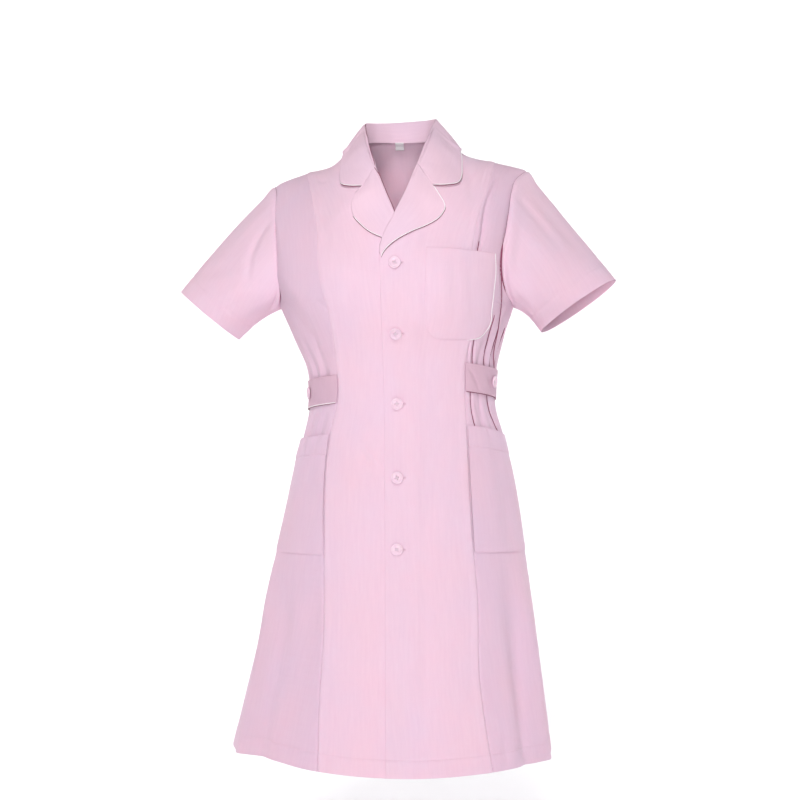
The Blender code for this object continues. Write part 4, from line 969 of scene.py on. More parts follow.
COLLAR_STATIONS = 169
STAND_STEPS, FOLD_STEPS, FALL_STEPS = 10, 8, 22
FALL_START = STAND_STEPS + FOLD_STEPS  # the column of the collar's grid where its fall starts
# How far the stand's foot is dropped in the middle of the back, and how much more at the neck's corners.
NECK_DROP_MIDDLE, NECK_DROP_CORNER = 0.0024, 0.0062
NECK_SET_IN = 0.0030  # how far the stand's foot lies inside the back


def collar_lines():
    """The collar's neck seam, its normals there, its fold, its outer edge and its bulge, from the end at
    the left lapel round to the end at the right lapel."""
    lines = [], [], [], [], []
    left_half = [("left", row) for row in reversed(COLLAR)]
    for side, row in left_half + [("right", row) for row in COLLAR[1:]]:
        neck_x, neck_z, fold_x, fold_y, fold_z, edge_x, edge_z, bow, face = row
        sign, on_back = SIDES[side], face == "back"
        if on_back:
            x = sign * neck_x
            z = float(back_neck_z(x))
        else:
            z = neck_z + COLLAR_LEAN * sign * neck_x
            x = float(read(FRONT_EDGE[side], 1, z))
        a, v = place(x, z, on_back)
        out_x = sign * edge_x * (1.0 if side == "left" else COLLAR_RIGHT_WIDTH)
        edge_at = place(out_x, edge_z + COLLAR_EDGE_LEAN * out_x, on_back)
        fold = (sign * fold_x, fold_y, fold_z + COLLAR_LEAN * sign * fold_x)
        edge = on_body(*edge_at, CLOTH * 1.5 + LAID_GAP + COLLAR_EDGE_STANDS)
        for line, point in zip(lines, (on_body(a, v, CLOTH / 2), normal(a, v), fold, edge, [bow])):
            line.append(point)
    return [refined(line, COLLAR_STATIONS) for line in lines]


def kept_clear(points, on_back, least):
    """The points, moved out where they come nearer the body surface than least."""
    rows = []
    for row, back_row in zip(points, on_back):
        a, v = place(row[:, 0], row[:, 2], back_row)
        out = normal(a, v)
        above = ((row - body(a, v)) * out).sum(axis=1)
        rows.append(row + out * np.maximum(least - above, 0)[:, None])
    return np.array(rows)


def collar_grid():
    """The collar's middle surface: up the stand, round the fold and down the fall. Rows run round the
    neck from the left lapel to the right one."""
    neck, neck_out, fold, edge, bulge = collar_lines()
    neck_out = unit(neck_out)
    into_hole = unit(np.cross(neck_out, unit(np.gradient(neck, axis=0))))
    root = neck + into_hole * (DOUBLE / 2 + 0.0004) - neck_out * 0.0005
    drop = NECK_DROP_MIDDLE + NECK_DROP_CORNER * ease(np.abs(neck[:, 0]), 0.010, 0.055)
    at_back = ease(neck[:, 1], -0.006, 0.008)
    root[:, 2] -= drop * at_back
    root = root - neck_out * NECK_SET_IN * at_back[:, None]
    up = unit(fold - root)
    off = unit(across(edge - fold, up))
    radius = COLLAR_FOLD_RADIUS
    middle = fold - up * radius
    inner = middle - off * radius
    path = [root + (inner - root) * t for t in np.linspace(0, 1, STAND_STEPS + 1)]
    for angle in np.linspace(0, math.pi, FOLD_STEPS + 1)[1:]:
        path.append(middle - off * radius * math.cos(angle) + up * radius * math.sin(angle))
    outer = path[-1]
    control = (outer + edge) / 2 + unit(across(up + off, unit(edge - outer))) * bulge * 2
    for t in np.linspace(0, 1, FALL_STEPS + 1)[1:]:
        path.append((1 - t) ** 2 * outer + 2 * t * (1 - t) * control + t * t * edge)
    grid = np.stack(path, axis=1)
    fall = grid[:, FALL_START:]
    grid[:, FALL_START:] = kept_clear(fall, edge[:, 1] > 0, CLOTH + LAID_GAP + 0.0008)
    return grid


def upright(grid):
    """Unit vectors square to a grid that runs round the neck and then outwards."""
    return unit(np.cross(np.gradient(grid, axis=1), np.gradient(grid, axis=0)))


def collar():
    """The collar: its object, its middle surface and the directions out of it."""
    grid = collar_grid()
    out = upright(grid)
    creases = []
    for half_width, rise, *spots in COLLAR_CREASES:
        spots = refined(spots, 20)
        rows = np.round(spots[:, 0] * (len(grid) - 1)).astype(int)
        columns = FALL_START + np.round(spots[:, 1] * FALL_STEPS).astype(int)
        creases.append((grid[rows, columns], half_width / 1000, rise / 1000, 0.0))
    on_fall = ease(np.arange(grid.shape[1]), FALL_START - 1, FALL_START + 5)
    lift = crease_relief(grid, out, creases) * on_fall * ease(to_edges(grid)[1], 0.0, 0.012)
    lift = lift + unevenness(grid, 41) * 0.6
    grid = grid + out * lift[..., None]
    return shell("shell_collar", grid - out * DOUBLE / 2, grid + out * DOUBLE / 2), grid, out


LAPEL_ROWS, LAPEL_FALL, ROLL_STEPS = 52, 26, 7


def lapel(side, collar_points):
    """A turned-back front: it rolls over the front's edge and lies on it. Its top meets the collar."""
    roll_x, roll_z, edge_x, edge_z = refined(LAPEL[side], LAPEL_ROWS).T[..., None]
    share = np.linspace(0, 1, LAPEL_FALL + 1)
    x = roll_x + (edge_x - roll_x) * share
    z = roll_z + (edge_z - roll_z) * share
    a, v = place(x, z)
    bow = LAPEL_SPRING * np.sin(share * math.pi) * ease(z, -0.120, -0.080)
    base, out = body(a, v), normal(a, v)
    lap = thin_lap(base) * (side == "left")
    lift = CLOTH + LAPEL_GAP + DOUBLE / 2 + bow + unevenness(base, 43) * 0.6 + lap
    fall = base + out * lift[..., None]
    under = PANEL_LIFT + THIN / 2 + lap[:, 0]
    middle, radius = (lift[:, 0] + under) / 2, (lift[:, 0] - under) / 2
    away = -unit(across(base[:, 1] - base[:, 0], out[:, 0]))
    roll = []
    for angle in np.linspace(-math.pi / 2, math.pi / 2, ROLL_STEPS + 1)[:-1]:
        high = middle + radius * math.sin(angle)
        roll.append(base[:, 0] + out[:, 0] * high[:, None] + away * (radius * math.cos(angle))[:, None])
    grid = np.concatenate([np.stack(roll, axis=1), fall], axis=1)

    meets = refined(collar_points[0 if side == "left" else -1, FALL_START - ROLL_STEPS :], grid.shape[1])
    joined = ease(np.linspace(0, 1, LAPEL_ROWS), 0.30, 0.0)[:, None, None]
    grid = grid + (meets - grid[0])[None] * joined
    out = upright(grid)
    half_way = a[LAPEL_ROWS // 2, -3], v[LAPEL_ROWS // 2, -3]
    if (out[LAPEL_ROWS // 2, -3] * normal(*half_way)).sum() < 0:
        out = -out
    inside, outside = grid - out * DOUBLE / 2, grid + out * DOUBLE / 2
    if side == "left":
        inside, outside = inside[:, ::-1], outside[:, ::-1]
    return shell(f"shell_lapel_{side}", inside, outside), grid, out


# ---------------------------------------------------------------- pockets, tabs and label

STITCHED, FREE = 0.0018, 0.0026  # how far a lower pocket's stitched edge stands off, and its middle
CHEST_STITCHED, CHEST_FREE = 0.0017, 0.0022
CHEST_GAPE, GAPE = 0.0012, 0.0030  # how much further the middle of a mouth stands off
CHEST_WIDTH, CHEST_MOUTH, POCKET_WIDTH, TAB_LENGTH = 0.104, 0.102, 0.130, 0.110
PATCH_CELL, TAB_CELL = 0.0030, 0.0024
SIDE_GAP = 0.001  # between a lower pocket and the seams beside it
TAB_POINT = 0.05  # how much further round the point of a tab reaches than its corners
TAB_LIFT, TAB_GAP = 0.0030, 0.0008


def laid_on_body(name, side, a, v, lift, thick=THIN, folded=True):
    """A piece that lies on the panels, lift over the body surface and its creases."""
    if side == "right":
        a, v, lift = a[:, ::-1], v[:, ::-1], lift[:, ::-1]
    return laid(name, body(a, v, folded), normal(a, v, folded), lift, thick)


def chest_pocket():
    inner, top, bottom = CHEST_POCKET["inner"], CHEST_POCKET["top"], CHEST_POCKET["bottom"]
    corner = CHEST_POCKET["round"]
    z = bottom + (top - bottom) * steps_between(top - bottom, PATCH_CELL)
    outer = read(CHEST_POCKET_OUTER, 1, z)
    in_corner = np.clip((bottom + corner - z) / corner, 0, 1)
    rounded = inner + corner * (1 - np.sqrt(np.clip(1 - in_corner**2, 0, 1)))
    x = rounded[:, None] + (outer - rounded)[:, None] * steps_between(CHEST_WIDTH, PATCH_CELL)
    fall = CHEST_POCKET["top_fall"] * (x - inner) / CHEST_MOUTH
    z = z[:, None] - fall * ease(z, bottom + 0.03, top)[:, None]
    a, v = place(x, z)
    base = body(a, v)
    _, _, from_side, from_low, mouth = to_edges(base)
    from_edge = np.minimum(from_side, from_low)
    lift = CHEST_STITCHED + (CHEST_FREE - CHEST_STITCHED) * ease(from_edge, 0.001, 0.010)
    lift = lift + CHEST_GAPE * ease(mouth, 0.030, 0.0) * ease(from_side, 0.0, 0.030)
    lift = lift + unevenness(base, 47) * ease(from_edge, 0, 0.02) + thin_lap(base)
    creases = creases_on_body(CHEST_POCKET_CREASES)
    lift = lift + crease_relief(base, normal(a, v), creases) * ease(from_edge, 0, 0.01)
    return laid_on_body("shell_chest_pocket", "left", a, v, lift)


def lower_pocket(side):
    """A patch from the princess seam to the side seam, its mouth falling towards the side."""
    sign, sizes = SIDES[side], LOWER_POCKET[side]
    depth = sizes["top"] - sizes["bottom"]
    hem_rows = 1 - (POCKET_HEM + np.array([-0.004, -0.002, -0.001, 0, 0.001, 0.002, 0.004])) / depth
    share_up = np.unique(np.concatenate([steps_between(depth, 0.0032), hem_rows]))[:, None]
    share_out = steps_between(POCKET_WIDTH, PATCH_CELL)
    low = sizes["bottom"] - sizes["bottom_fall"] * share_out
    high = sizes["top"] - sizes["top_fall"] * share_out
    v = skirt_level(low + (high - low) * share_up)
    seam = seam_a(PRINCESS[side], v[:, :1])
    a = seam + (sign - seam) * share_out
    a[:, 0] += sign * SIDE_GAP / metres_per_a(a[:, 0], v[:, 0])
    a[:, -1] -= sign * SIDE_GAP / metres_per_a(a[:, -1], v[:, -1])
    base, outs = body(a, v), normal(a, v)
    _, _, from_side, from_low, mouth = to_edges(base)
    from_edge, from_hem = np.minimum(from_side, from_low), mouth - POCKET_HEM
    lift = STITCHED + (FREE - STITCHED) * ease(from_edge, 0.001, 0.010)
    lift = lift + GAPE * ease(mouth, 0.050, 0.0) * ease(from_side, -0.004, 0.030)
    lift = lift + 0.0004 * ease(from_hem, 0.001, -0.001) - 0.0006 * bell(from_hem, 0.0011)
    wave = soft_noise(base, (0.0085, 0.0085, 0.030), 83)
    lift = lift + 0.0006 * wave * bell(from_hem + 0.004, 0.011)
    lift = lift + 0.0008 * wave * bell(from_low, 0.012) * ease(from_low, 0.0, 0.004)
    lift = lift + unevenness(base, 53) * ease(from_edge, 0.0, 0.02)
    relief = crease_relief(base, outs, creases_on_body(POCKET_CREASES[side]))
    return laid_on_body(f"shell_pocket_{side}", side, a, v, lift + relief * ease(from_edge, 0.0, 0.012))


def waist_tab(side):
    """A strap of two layers from the princess seam to behind the side seam, its end cut to a point."""
    sign, share = SIDES[side], steps_between(TAB_LENGTH, TAB_CELL)
    up = steps_between(TAB_HEIGHT, TAB_CELL)[:, None] - 1
    v = skirt_level(tab_level(side, share) + TAB_HEIGHT * up)
    start = seam_a(PRINCESS[side], v)
    start = start + sign * TAB_GAP / metres_per_a(start, v)
    end = sign * (TAB[side]["end"] - TAB_POINT * ease(np.abs(up + 0.5), 0.15, 0.5))
    a = start + (end - start) * share
    base, outs = body(a, v, False), normal(a, v, False)
    from_start, _, _, from_low, from_top = to_edges(base)
    from_side = np.minimum(from_low, from_top)
    lift = TAB_LIFT - 0.0010 * ease(from_start, 0.010, 0.0)
    relief = crease_relief(base, outs, creases_on_body(TAB_CREASES[side]))
    lift = lift + relief * ease(from_side, -0.002, 0.004)
    lift = lift + unevenness(base, 59) * 0.6 - 0.0003 * bell(from_side - 0.0022, 0.0009)
    return laid_on_body(f"shell_waist_tab_{side}", side, a, v, lift, DOUBLE, folded=False)


def neck_label():
    """A bare woven label, folded over at its lower end."""
    half, top, bottom = LABEL["half_width"], LABEL["top"], LABEL["bottom"]
    x, z = np.meshgrid(LABEL["middle"] + np.linspace(half, -half, 14), np.linspace(bottom, top, 13))
    a, v = place(x, z, back=True)
    a = np.where(a < 0, a + 4, a)
    near = on_body(a, v, -(0.0024 + 0.0012 * ease(z, top - 0.006, top - 0.002)))
    thick = 0.0007 + 0.0003 * ease(z, bottom + 0.002, bottom)
    return shell("shell_neck_label", near - normal(a, v) * thick[..., None], near)


# ---------------------------------------------------------------- buttons and buttonholes

# A button's turned outline, from the middle of its back round to the middle of its dished face.
TURNED = (
    (0.0, 0.0), (6.5, 0.05), (8.4, 0.45), (9.4, 1.05), (9.8, 1.75), (9.7, 2.35), (9.2, 2.85), (8.5, 3.05),
    (7.8, 2.98), (7.2, 2.65), (6.7, 2.25), (6.0, 2.02), (4.6, 1.88), (2.4, 1.8), (0.0, 1.78),
)
# What cuts one of its four holes, wider towards the face: radius and height.
HOLE_FLARE = ((0, -1.0), (0.95, -1.0), (0.95, 1.40), (1.15, 1.72), (1.5, 1.95), (1.5, 3), (0, 3))
HOLE_OFF = 0.0019  # of each hole from the middle, in x and in y
BUTTON_STANDS = 0.0007  # how far a button stands off its cloth
THREAD_RADIUS, SHANK_RADIUS = 0.00022, 0.0009  # the shank is the wound thread under a button
THREAD_HIGH, THREAD_LOW = 0.0021, 0.0008  # above the button's back: over its face, and in its holes

# A buttonhole's worked edge: half its length and its width, the reach of its rounded ends, and how far
# its middle lies past the button's.
BUTTONHOLE = dict(half_length=0.0075, half_width=0.0011, ends=0.0012, off=0.0042)
SLIT = (-0.003, 0.0118)  # its slit, from the button's middle


def on_cloth(outside, a, v, folded=True):
    """Points of a piece's outer face where it lies over (a, v), and the directions out of it there."""
    base, out = body(a, v, folded), normal(a, v, folded)
    cloth, lifts = outside.reshape(-1, 3), []
    for spot, away in zip(base.reshape(-1, 3), out.reshape(-1, 3)):
        offset = cloth - spot
        offset = offset - away * (offset @ away)[:, None]
        squared = (offset**2).sum(axis=1)
        near = np.argpartition(squared, 4)[:4]
        weight = 1 / (squared[near] + 1e-9)
        lifts.append((((cloth[near] - spot) @ away) * weight).sum() / weight.sum())
    return base + out * np.array(lifts).reshape(base.shape[:-1])[..., None], out


def lathe(name, outline, sides):
    """A closed turned body about +Z from rows of radius and height in millimetres, on the axis at both
    ends."""
    shape, rings = bmesh.new(), []
    for radius, high in outline:
        turns = [2 * math.pi * k / sides for k in range(sides if radius else 1)]
        ring = [(radius / 1000 * math.cos(t), radius / 1000 * math.sin(t), high / 1000) for t in turns]
        rings.append([shape.verts.new(point) for point in ring])
    for low, high in zip(rings[:-1], rings[1:]):
        for k in range(sides):
            n = (k + 1) % sides
            corners = [low[k % len(low)], low[n % len(low)], high[n % len(high)], high[k % len(high)]]
            shape.faces.new(list(dict.fromkeys(corners)))
    mesh = bpy.data.meshes.new(name)
    shape.to_mesh(mesh)
    shape.free()
    return linked(name, mesh)


def button_mesh():
    """The button with its four holes cut through."""
    blank = lathe("button_blank", TURNED, 72)
    for x in (-HOLE_OFF, HOLE_OFF):
        for y in (-HOLE_OFF, HOLE_OFF):
            cutter = lathe("button_hole", HOLE_FLARE, 20)
            cutter.location = (x, y, 0)
            cut = blank.modifiers.new("hole", "BOOLEAN")
            cut.operation, cut.solver, cut.object = "DIFFERENCE", "EXACT", cutter
    bpy.context.view_layer.update()
    mesh = bpy.data.meshes.new_from_object(blank.evaluated_get(bpy.context.evaluated_depsgraph_get()))
    mesh.name = "button"
    for spare in [blank] + [cut.object for cut in blank.modifiers]:
        bpy.data.objects.remove(spare)
    mesh.shade_smooth()
    mesh.set_sharp_from_angle(angle=math.radians(40))
    return mesh


def button_thread():
    """Two crossed bars of thread through the holes, each of two strands."""
    paths = []
    along = np.linspace(-1, 1, 13)
    for turn, rise in ((math.pi / 4, 0.0005), (-math.pi / 4, 0.0003)):
        for strand in (-THREAD_RADIUS, THREAD_RADIUS):
            arched = THREAD_HIGH + rise * np.cos(along * math.pi / 2)
            high = np.where(np.abs(along) > 0.96, THREAD_LOW, arched)
            path = np.stack([along * HOLE_OFF * math.sqrt(2), np.full(13, strand), high], axis=1)
            c, s = math.cos(turn), math.sin(turn)
            paths.append(path @ np.array([[c, s, 0], [-s, c, 0], [0, 0, 1]]))
    return paths


def set_in_place(made, middle, out, spin):
    """Stands an object on a point, its +Z along out and its +Y towards the top."""
    z = unit(np.array(out))
    y = unit(np.array([0, 0, 1.0]) - z * z[2])
    x = np.cross(y, z)
    c, s = math.cos(spin), math.sin(spin)
    columns = np.stack([x * c + y * s, y * c - x * s, z, middle], axis=1)
    made.matrix_world = mathutils.Matrix([list(row) for row in columns] + [[0, 0, 0, 1]])


def buttons(pieces):
    """The buttons as (object, node) pairs, and the object of all their threads."""
    mesh, bars = button_mesh(), button_thread()
    spots = []
    for number, (x, z) in enumerate(FRONT_BUTTONS, 1):
        spots.append((f"front_{number}", "front_left", *place(x, z), 0.3 * number))
    for side, sign in SIDES.items():
        v = np.array(skirt_level(tab_level(side, TAB_BUTTON_SHARE) - TAB_HEIGHT / 2))
        spots.append((f"tab_{side}", f"waist_tab_{side}", np.array(sign * TAB[side]["button"]), v, 0.5))
    made, threads = [], []
    for name, cloth, a, v, spin in spots:
        point, out = on_cloth(pieces[cloth][0], a, v, folded=name.startswith("front"))
        middle = point + out * BUTTON_STANDS
        shown = linked(f"shell_button_{name}", mesh)
        set_in_place(shown, middle, out, spin)
        made.append((shown, f"button_{name}"))
        turn = np.array(shown.matrix_world.to_3x3())
        threads += [(path @ turn.T + middle, THREAD_RADIUS) for path in bars]
        shank = point - out * 0.0004 + out * np.linspace(0, 0.0018, 5)[:, None]
        threads.append((shank, SHANK_RADIUS))
    lines = []
    for path, radius in threads:
        along = unit(np.gradient(path, axis=0))
        side = unit(np.cross(along, np.array([0.31, 0.2, 0.93])))
        lines.append((path, np.cross(side, along), side, np.full(len(path), radius)))
    return made, strands("shell_button_threads", lines, 6)


def buttonholes(cloth):
    """The worked edge and the slit of a buttonhole under each front button: its far end shows beside the
    button."""
    paths, slits = [], []
    turn = np.linspace(0, 2 * math.pi, 121)
    u = np.clip(np.cos(turn) * 2.2, -1, 1) * BUTTONHOLE["half_length"] + np.cos(turn) * BUTTONHOLE["ends"]
    u = u + BUTTONHOLE["off"]
    w = np.sin(turn) / np.maximum(np.abs(np.sin(turn)), 0.35) * BUTTONHOLE["half_width"]
    for x, z in FRONT_BUTTONS:
        point, out = on_cloth(cloth, *place(x + u, z + w))
        paths.append((point + out * 0.0002, out))
        point, out = on_cloth(cloth, *place(x + np.linspace(*SLIT, 16), np.full(16, z)))
        slits.append((point + out * 0.00002, out))
    return paths, slits


# ---------------------------------------------------------------- edges, and painted shade along them and along the bottoms of folds

SHARP_FOLD, SHARP_DEPTH = 2.8, -2.9  # creases narrower and deeper than this get a painted shade line along their bottoms
# The lower end of the fold that runs down from the left armhole, as (a, z), which gets a painted shade line
# too.
PRESSED_END = ((0.4235, -0.175), (0.427, -0.168), (0.432, -0.158))


def fold_shades(panels):
    """Painted shade lines along the bottoms of the sharp folds: (points, outs) each."""
    cloth = np.concatenate([outside.reshape(-1, 3) for outside, _ in panels])
    sharp = [row[3:] for row in BODY_CREASES if row[0] < SHARP_FOLD and row[1] < SHARP_DEPTH]
    shades = []
    for spots in sharp + [PRESSED_END]:
        a, v = body_places(spots, 48)
        path, out = on_cloth(cloth, a, v)
        base = body(a, v)
        high = np.pad(((path - base) * out).sum(axis=1), 4, mode="edge")
        high = np.convolve(high, np.ones(9) / 9, mode="valid")
        high = high + 0.0009 + 0.0007 * ease(path[:, 0], 0.128, 0.138)
        shades.append((base + out * high[:, None], out))
    return shades


def edge_of(piece, line, before):
    """An edge of a piece's outer face: its points, the directions out of the cloth and those past it."""
    outside, outs = piece
    return outside[line], outs[line], unit(outside[line] - outside[before])


def shade_under(path, outs, away):
    """A painted shade line just outside and under a turned edge's painted highlight."""
    return path + away * EDGE_HIGHLIGHT_RADIUS - outs * 2 * EDGE_HIGHLIGHT_RADIUS, outs


# ---------------------------------------------------------------- materials


class Nodes:
    """A material's nodes, added one at a time."""

    def __init__(self, name, roughness):
        self.material = bpy.data.materials.new(name)
        self.material.use_nodes = True
        self.tree = self.material.node_tree
        self.shader = self.tree.nodes["Principled BSDF"]
        self.shade({"Roughness": roughness})
        self.space = self.add("ShaderNodeTexCoord").outputs["Object"]

    def add(self, kind, inputs=(), **settings):
        node = self.tree.nodes.new(kind)
        for key, value in settings.items():
            setattr(node, key, value)
        for key, value in dict(inputs).items():
            self.put(node.inputs[key], value)
        return node

    def put(self, socket, value):
        if isinstance(value, bpy.types.NodeSocket):
            self.tree.links.new(value, socket)
        else:
            socket.default_value = value

    def shade(self, inputs):
        for key, value in inputs.items():
            self.put(self.shader.inputs[key], value)

    def sum(self, operation, first, second=0.0):
        return self.add("ShaderNodeMath", {0: first, 1: second}, operation=operation).outputs[0]

    def wave(self, along, pitch):
        return self.sum("SINE", self.sum("MULTIPLY", along, 2 * math.pi / pitch))

    def vector(self, operation, *inputs):
        return self.add("ShaderNodeVectorMath", dict(enumerate(inputs)), operation=operation).outputs

    def parts(self, where):
        return self.add("ShaderNodeSeparateXYZ", {0: where}).outputs

    def noise(self, where, scale, detail=2.0, stretch=(1, 1, 1)):
        moved = self.vector("MULTIPLY", where, stretch)[0]
        made = self.add("ShaderNodeTexNoise", {"Vector": moved, "Scale": scale, "Detail": detail})
        return made.outputs["Fac"]

    def mix(self, share, low, high, **settings):
        made = self.add("ShaderNodeMix", data_type="RGBA", **settings)
        self.put(made.inputs["Factor"], share)
        for socket, colour in (("A", low), ("B", high)):
            linked_up = isinstance(colour, bpy.types.NodeSocket)
            self.put(made.inputs[socket], colour if linked_up else (*colour, 1))
        return made.outputs["Result"]

    def bump(self, height, distance, before=None):
        made = self.add("ShaderNodeBump", {"Height": height, "Strength": 1.0, "Distance": distance})
        if before is not None:
            self.put(made.inputs["Normal"], before)
        return made.outputs[0]


def dyed(colour, *share):
    """A colour with its channels scaled by the shares, or by the one share."""
    return tuple(c * f for c, f in zip(colour, share * (3 // len(share))))


TWILL_PITCH = 0.00070  # from one rib of the weave to the next


def cloth_material(name, layers=1, shade_tint=PLAIN):
    """Poly-cotton: a fine twill, faint slubs down the cloth and soft uneven dyeing. One layer lets
    some light through, two don't. A tint below white darkens a copy of the cloth as painted shade."""
    nodes = Nodes(name, 0.82)
    flat = nodes.add("ShaderNodeUVMap", uv_map="cloth").outputs[0]
    parts = nodes.parts(flat)
    ribs = nodes.wave(nodes.sum("ADD", parts[0], parts[1]), TWILL_PITCH)
    weave = nodes.sum("ADD", ribs, nodes.sum("MULTIPLY", nodes.wave(parts[0], TWILL_PITCH), 0.3))
    slub = nodes.noise(flat, 1.0, 2.0, (260, 20, 1))
    fine_slub = nodes.noise(flat, 1.0, 2.0, (900, 70, 1))
    cross_slub = nodes.noise(flat, 1.0, 1.0, (60, 800, 1))
    cloud = nodes.noise(nodes.space, 13.0, 2.0, (1, 1, 0.6))
    share = nodes.sum("MULTIPLY", nodes.sum("SUBTRACT", cloud, 0.5), 2.4)
    dye = nodes.mix(nodes.sum("ADD", share, 0.45), PINK, LILAC)
    shade = nodes.sum("ADD", nodes.sum("MULTIPLY", slub, 0.55), nodes.sum("MULTIPLY", fine_slub, 0.30))
    shade = nodes.sum("ADD", shade, nodes.sum("MULTIPLY", cross_slub, 0.15))
    shade = nodes.sum("MULTIPLY", nodes.sum("SUBTRACT", shade, 0.30), 2.2)
    # slub streaks, times the tint: painted shade on the tabs, side fronts and lower pockets
    slubs_and_shade_tint = nodes.mix(shade, dyed(shade_tint, 0.955, 0.93, 0.955), shade_tint)
    fine = nodes.bump(weave, 0.00003)
    nodes.shade({
        "Base Color": nodes.mix(1.0, dye, slubs_and_shade_tint, blend_type="MULTIPLY"),
        "Normal": nodes.bump(nodes.sum("ADD", fine_slub, cross_slub), 0.00010, fine),
        "Sheen Weight": 0.08,
        "Sheen Roughness": 0.45,
        "Sheen Tint": (1.0, 0.85, 0.92, 1),
        "Specular IOR Level": 0.15,
    })
    if layers == 1:
        nodes.shade({"Subsurface Weight": 0.35, "Subsurface Radius": (1.0, 0.70, 0.76)})
        nodes.shade({"Subsurface Scale": 0.0011})
    return nodes.material


def thread_material(name, colour, pitch=0.00045):
    """Twisted sewing thread."""
    nodes = Nodes(name, 0.62)
    parts = nodes.parts(nodes.space)
    twist = nodes.wave(nodes.sum("ADD", nodes.sum("ADD", parts[0], parts[2]), parts[1]), pitch)
    share = nodes.sum("ADD", nodes.sum("MULTIPLY", twist, 0.2), nodes.noise(nodes.space, 1600.0))
    nodes.shade({"Base Color": nodes.mix(share, dyed(colour, 0.86), colour)})
    nodes.shade({"Normal": nodes.bump(twist, 0.00006), "Sheen Weight": 0.2})
    return nodes.material


def button_material():
    """Moulded polyester with a faint pearly cloud, fine turning marks and a polished rim."""
    nodes = Nodes("button", 0.42)
    cloud = nodes.noise(nodes.space, 140.0, 3.0)
    far = nodes.vector("LENGTH", nodes.vector("MULTIPLY", nodes.space, (1, 1, 0))[0])["Value"]
    nodes.shade({
        "Base Color": nodes.mix(cloud, dyed(SHELL_PINK, 0.88, 0.84, 0.90), (0.87, 0.66, 0.76)),
        "Normal": nodes.bump(nodes.wave(far, 0.00055), 0.000006),
        "Specular IOR Level": 0.35,
        "Coat Weight": 0.10,
        "Coat Roughness": 0.20,
        "Subsurface Weight": 0.10,
        "Subsurface Scale": 0.002,
    })
    return nodes.material


def label_material():
    """A woven satin label, bare."""
    nodes = Nodes("label", 0.45)
    parts = nodes.parts(nodes.space)
    weave = nodes.sum("ADD", nodes.wave(parts[0], 0.00050), nodes.wave(parts[2], 0.00090))
    cloud = nodes.noise(nodes.space, 500.0)
    nodes.shade({"Base Color": nodes.mix(cloud, dyed(LABEL_WHITE, 0.9), LABEL_WHITE)})
    nodes.shade({"Normal": nodes.bump(weave, 0.00004), "Sheen Weight": 0.15})
    return nodes.material


def stage_material(name, colour):
    nodes = Nodes(name, 0.9)
    cloud = nodes.noise(nodes.space, 1.5)
    nodes.shade({"Base Color": nodes.mix(cloud, dyed(colour, 0.99), colour), "Specular IOR Level": 0.1})
    return nodes.material


# ---------------------------------------------------------------- camera, stage and light

VIEW_AZIMUTH, VIEW_DISTANCE, VIEW_Z = 4.0, 2.3, -0.400
FLOOR_Z, WALL_Y, WALL_TOP, SWEEP_RADIUS, STAGE_HALF = -1.18, 1.7, 3.2, 0.9, 4.0


def camera():
    data = bpy.data.cameras.new("camera")
    data.sensor_width, data.lens = 36.0, 64.7
    data.clip_start, data.clip_end = 0.05, 50
    made = linked("camera", data)
    turn = math.radians(VIEW_AZIMUTH)
    distance = mathutils.Vector((math.sin(turn), -math.cos(turn), 0)) * VIEW_DISTANCE
    made.location = mathutils.Vector((0, 0, VIEW_Z)) + distance
    made.rotation_euler = (math.pi / 2, 0, turn)
    bpy.context.scene.camera = made


def backdrop():
    """A white sheet that runs from the floor up behind the dress in one curve."""
    profile = [(-STAGE_HALF, FLOOR_Z), (WALL_Y - SWEEP_RADIUS, FLOOR_Z)]
    for angle in np.linspace(0, math.pi / 2, 17)[1:]:
        y = WALL_Y - SWEEP_RADIUS + SWEEP_RADIUS * math.sin(angle)
        profile.append((y, FLOOR_Z + SWEEP_RADIUS * (1 - math.cos(angle))))
    profile = np.array(profile + [(WALL_Y, WALL_TOP)])
    x = np.linspace(-STAGE_HALF, STAGE_HALF, 9)
    points = np.zeros((len(profile), len(x), 3))
    points[..., 0], points[..., 1], points[..., 2] = x[None], profile[:, :1], profile[:, 1:]
    made = mesh_object("backdrop", points.reshape(-1, 3), grid_faces(len(profile), len(x)))
    made.data.materials.append(stage_material("backdrop", (0.92, 0.92, 0.93)))


AREA_LIGHTS = (
    # name, place, aimed at, width, height, power
    ("key", (-0.2, -2.7, 2.2), (0, 0, -0.3), 0.6, 0.6, 57),
    ("front", (0.1, -3.4, -0.3), (0, 0, -0.4), 1.1, 1.1, 62),
    ("wall_left", (1.9, 0.6, 0.2), (1.1, 1.7, -0.3), 0.8, 2.2, 37),
    ("wall_right", (-1.9, 0.6, 0.2), (-1.1, 1.7, -0.3), 0.8, 2.2, 37),
)


def aimed(name, data, place_at, aim_at):
    made = linked(name, data)
    made.location = place_at
    away = mathutils.Vector(aim_at) - mathutils.Vector(place_at)
    made.rotation_euler = away.to_track_quat("-Z", "Y").to_euler()


def lights():
    for name, place_at, aim_at, width, tall, power in AREA_LIGHTS:
        data = bpy.data.lights.new(name, "AREA")
        data.shape, data.size, data.size_y, data.energy = "RECTANGLE", width, tall, power
        aimed(name, data, place_at, aim_at)
    spot = bpy.data.lights.new("neck", "SPOT")
    spot.energy, spot.spot_size, spot.spot_blend, spot.shadow_soft_size = 17, math.radians(10), 1.0, 0.15
    aimed("neck", spot, (0.10, -2.3, 0.25), (0, 0, -0.03))
    bpy.context.scene.view_settings.view_transform = "Standard"
    world = bpy.data.worlds.new("studio")
    bpy.context.scene.world = world
    world.use_nodes = True
    ground = world.node_tree.nodes["Background"]
    ground.inputs["Color"].default_value = (1.0, 0.985, 0.99, 1)
    ground.inputs["Strength"].default_value = 0.05


# ---------------------------------------------------------------- all together

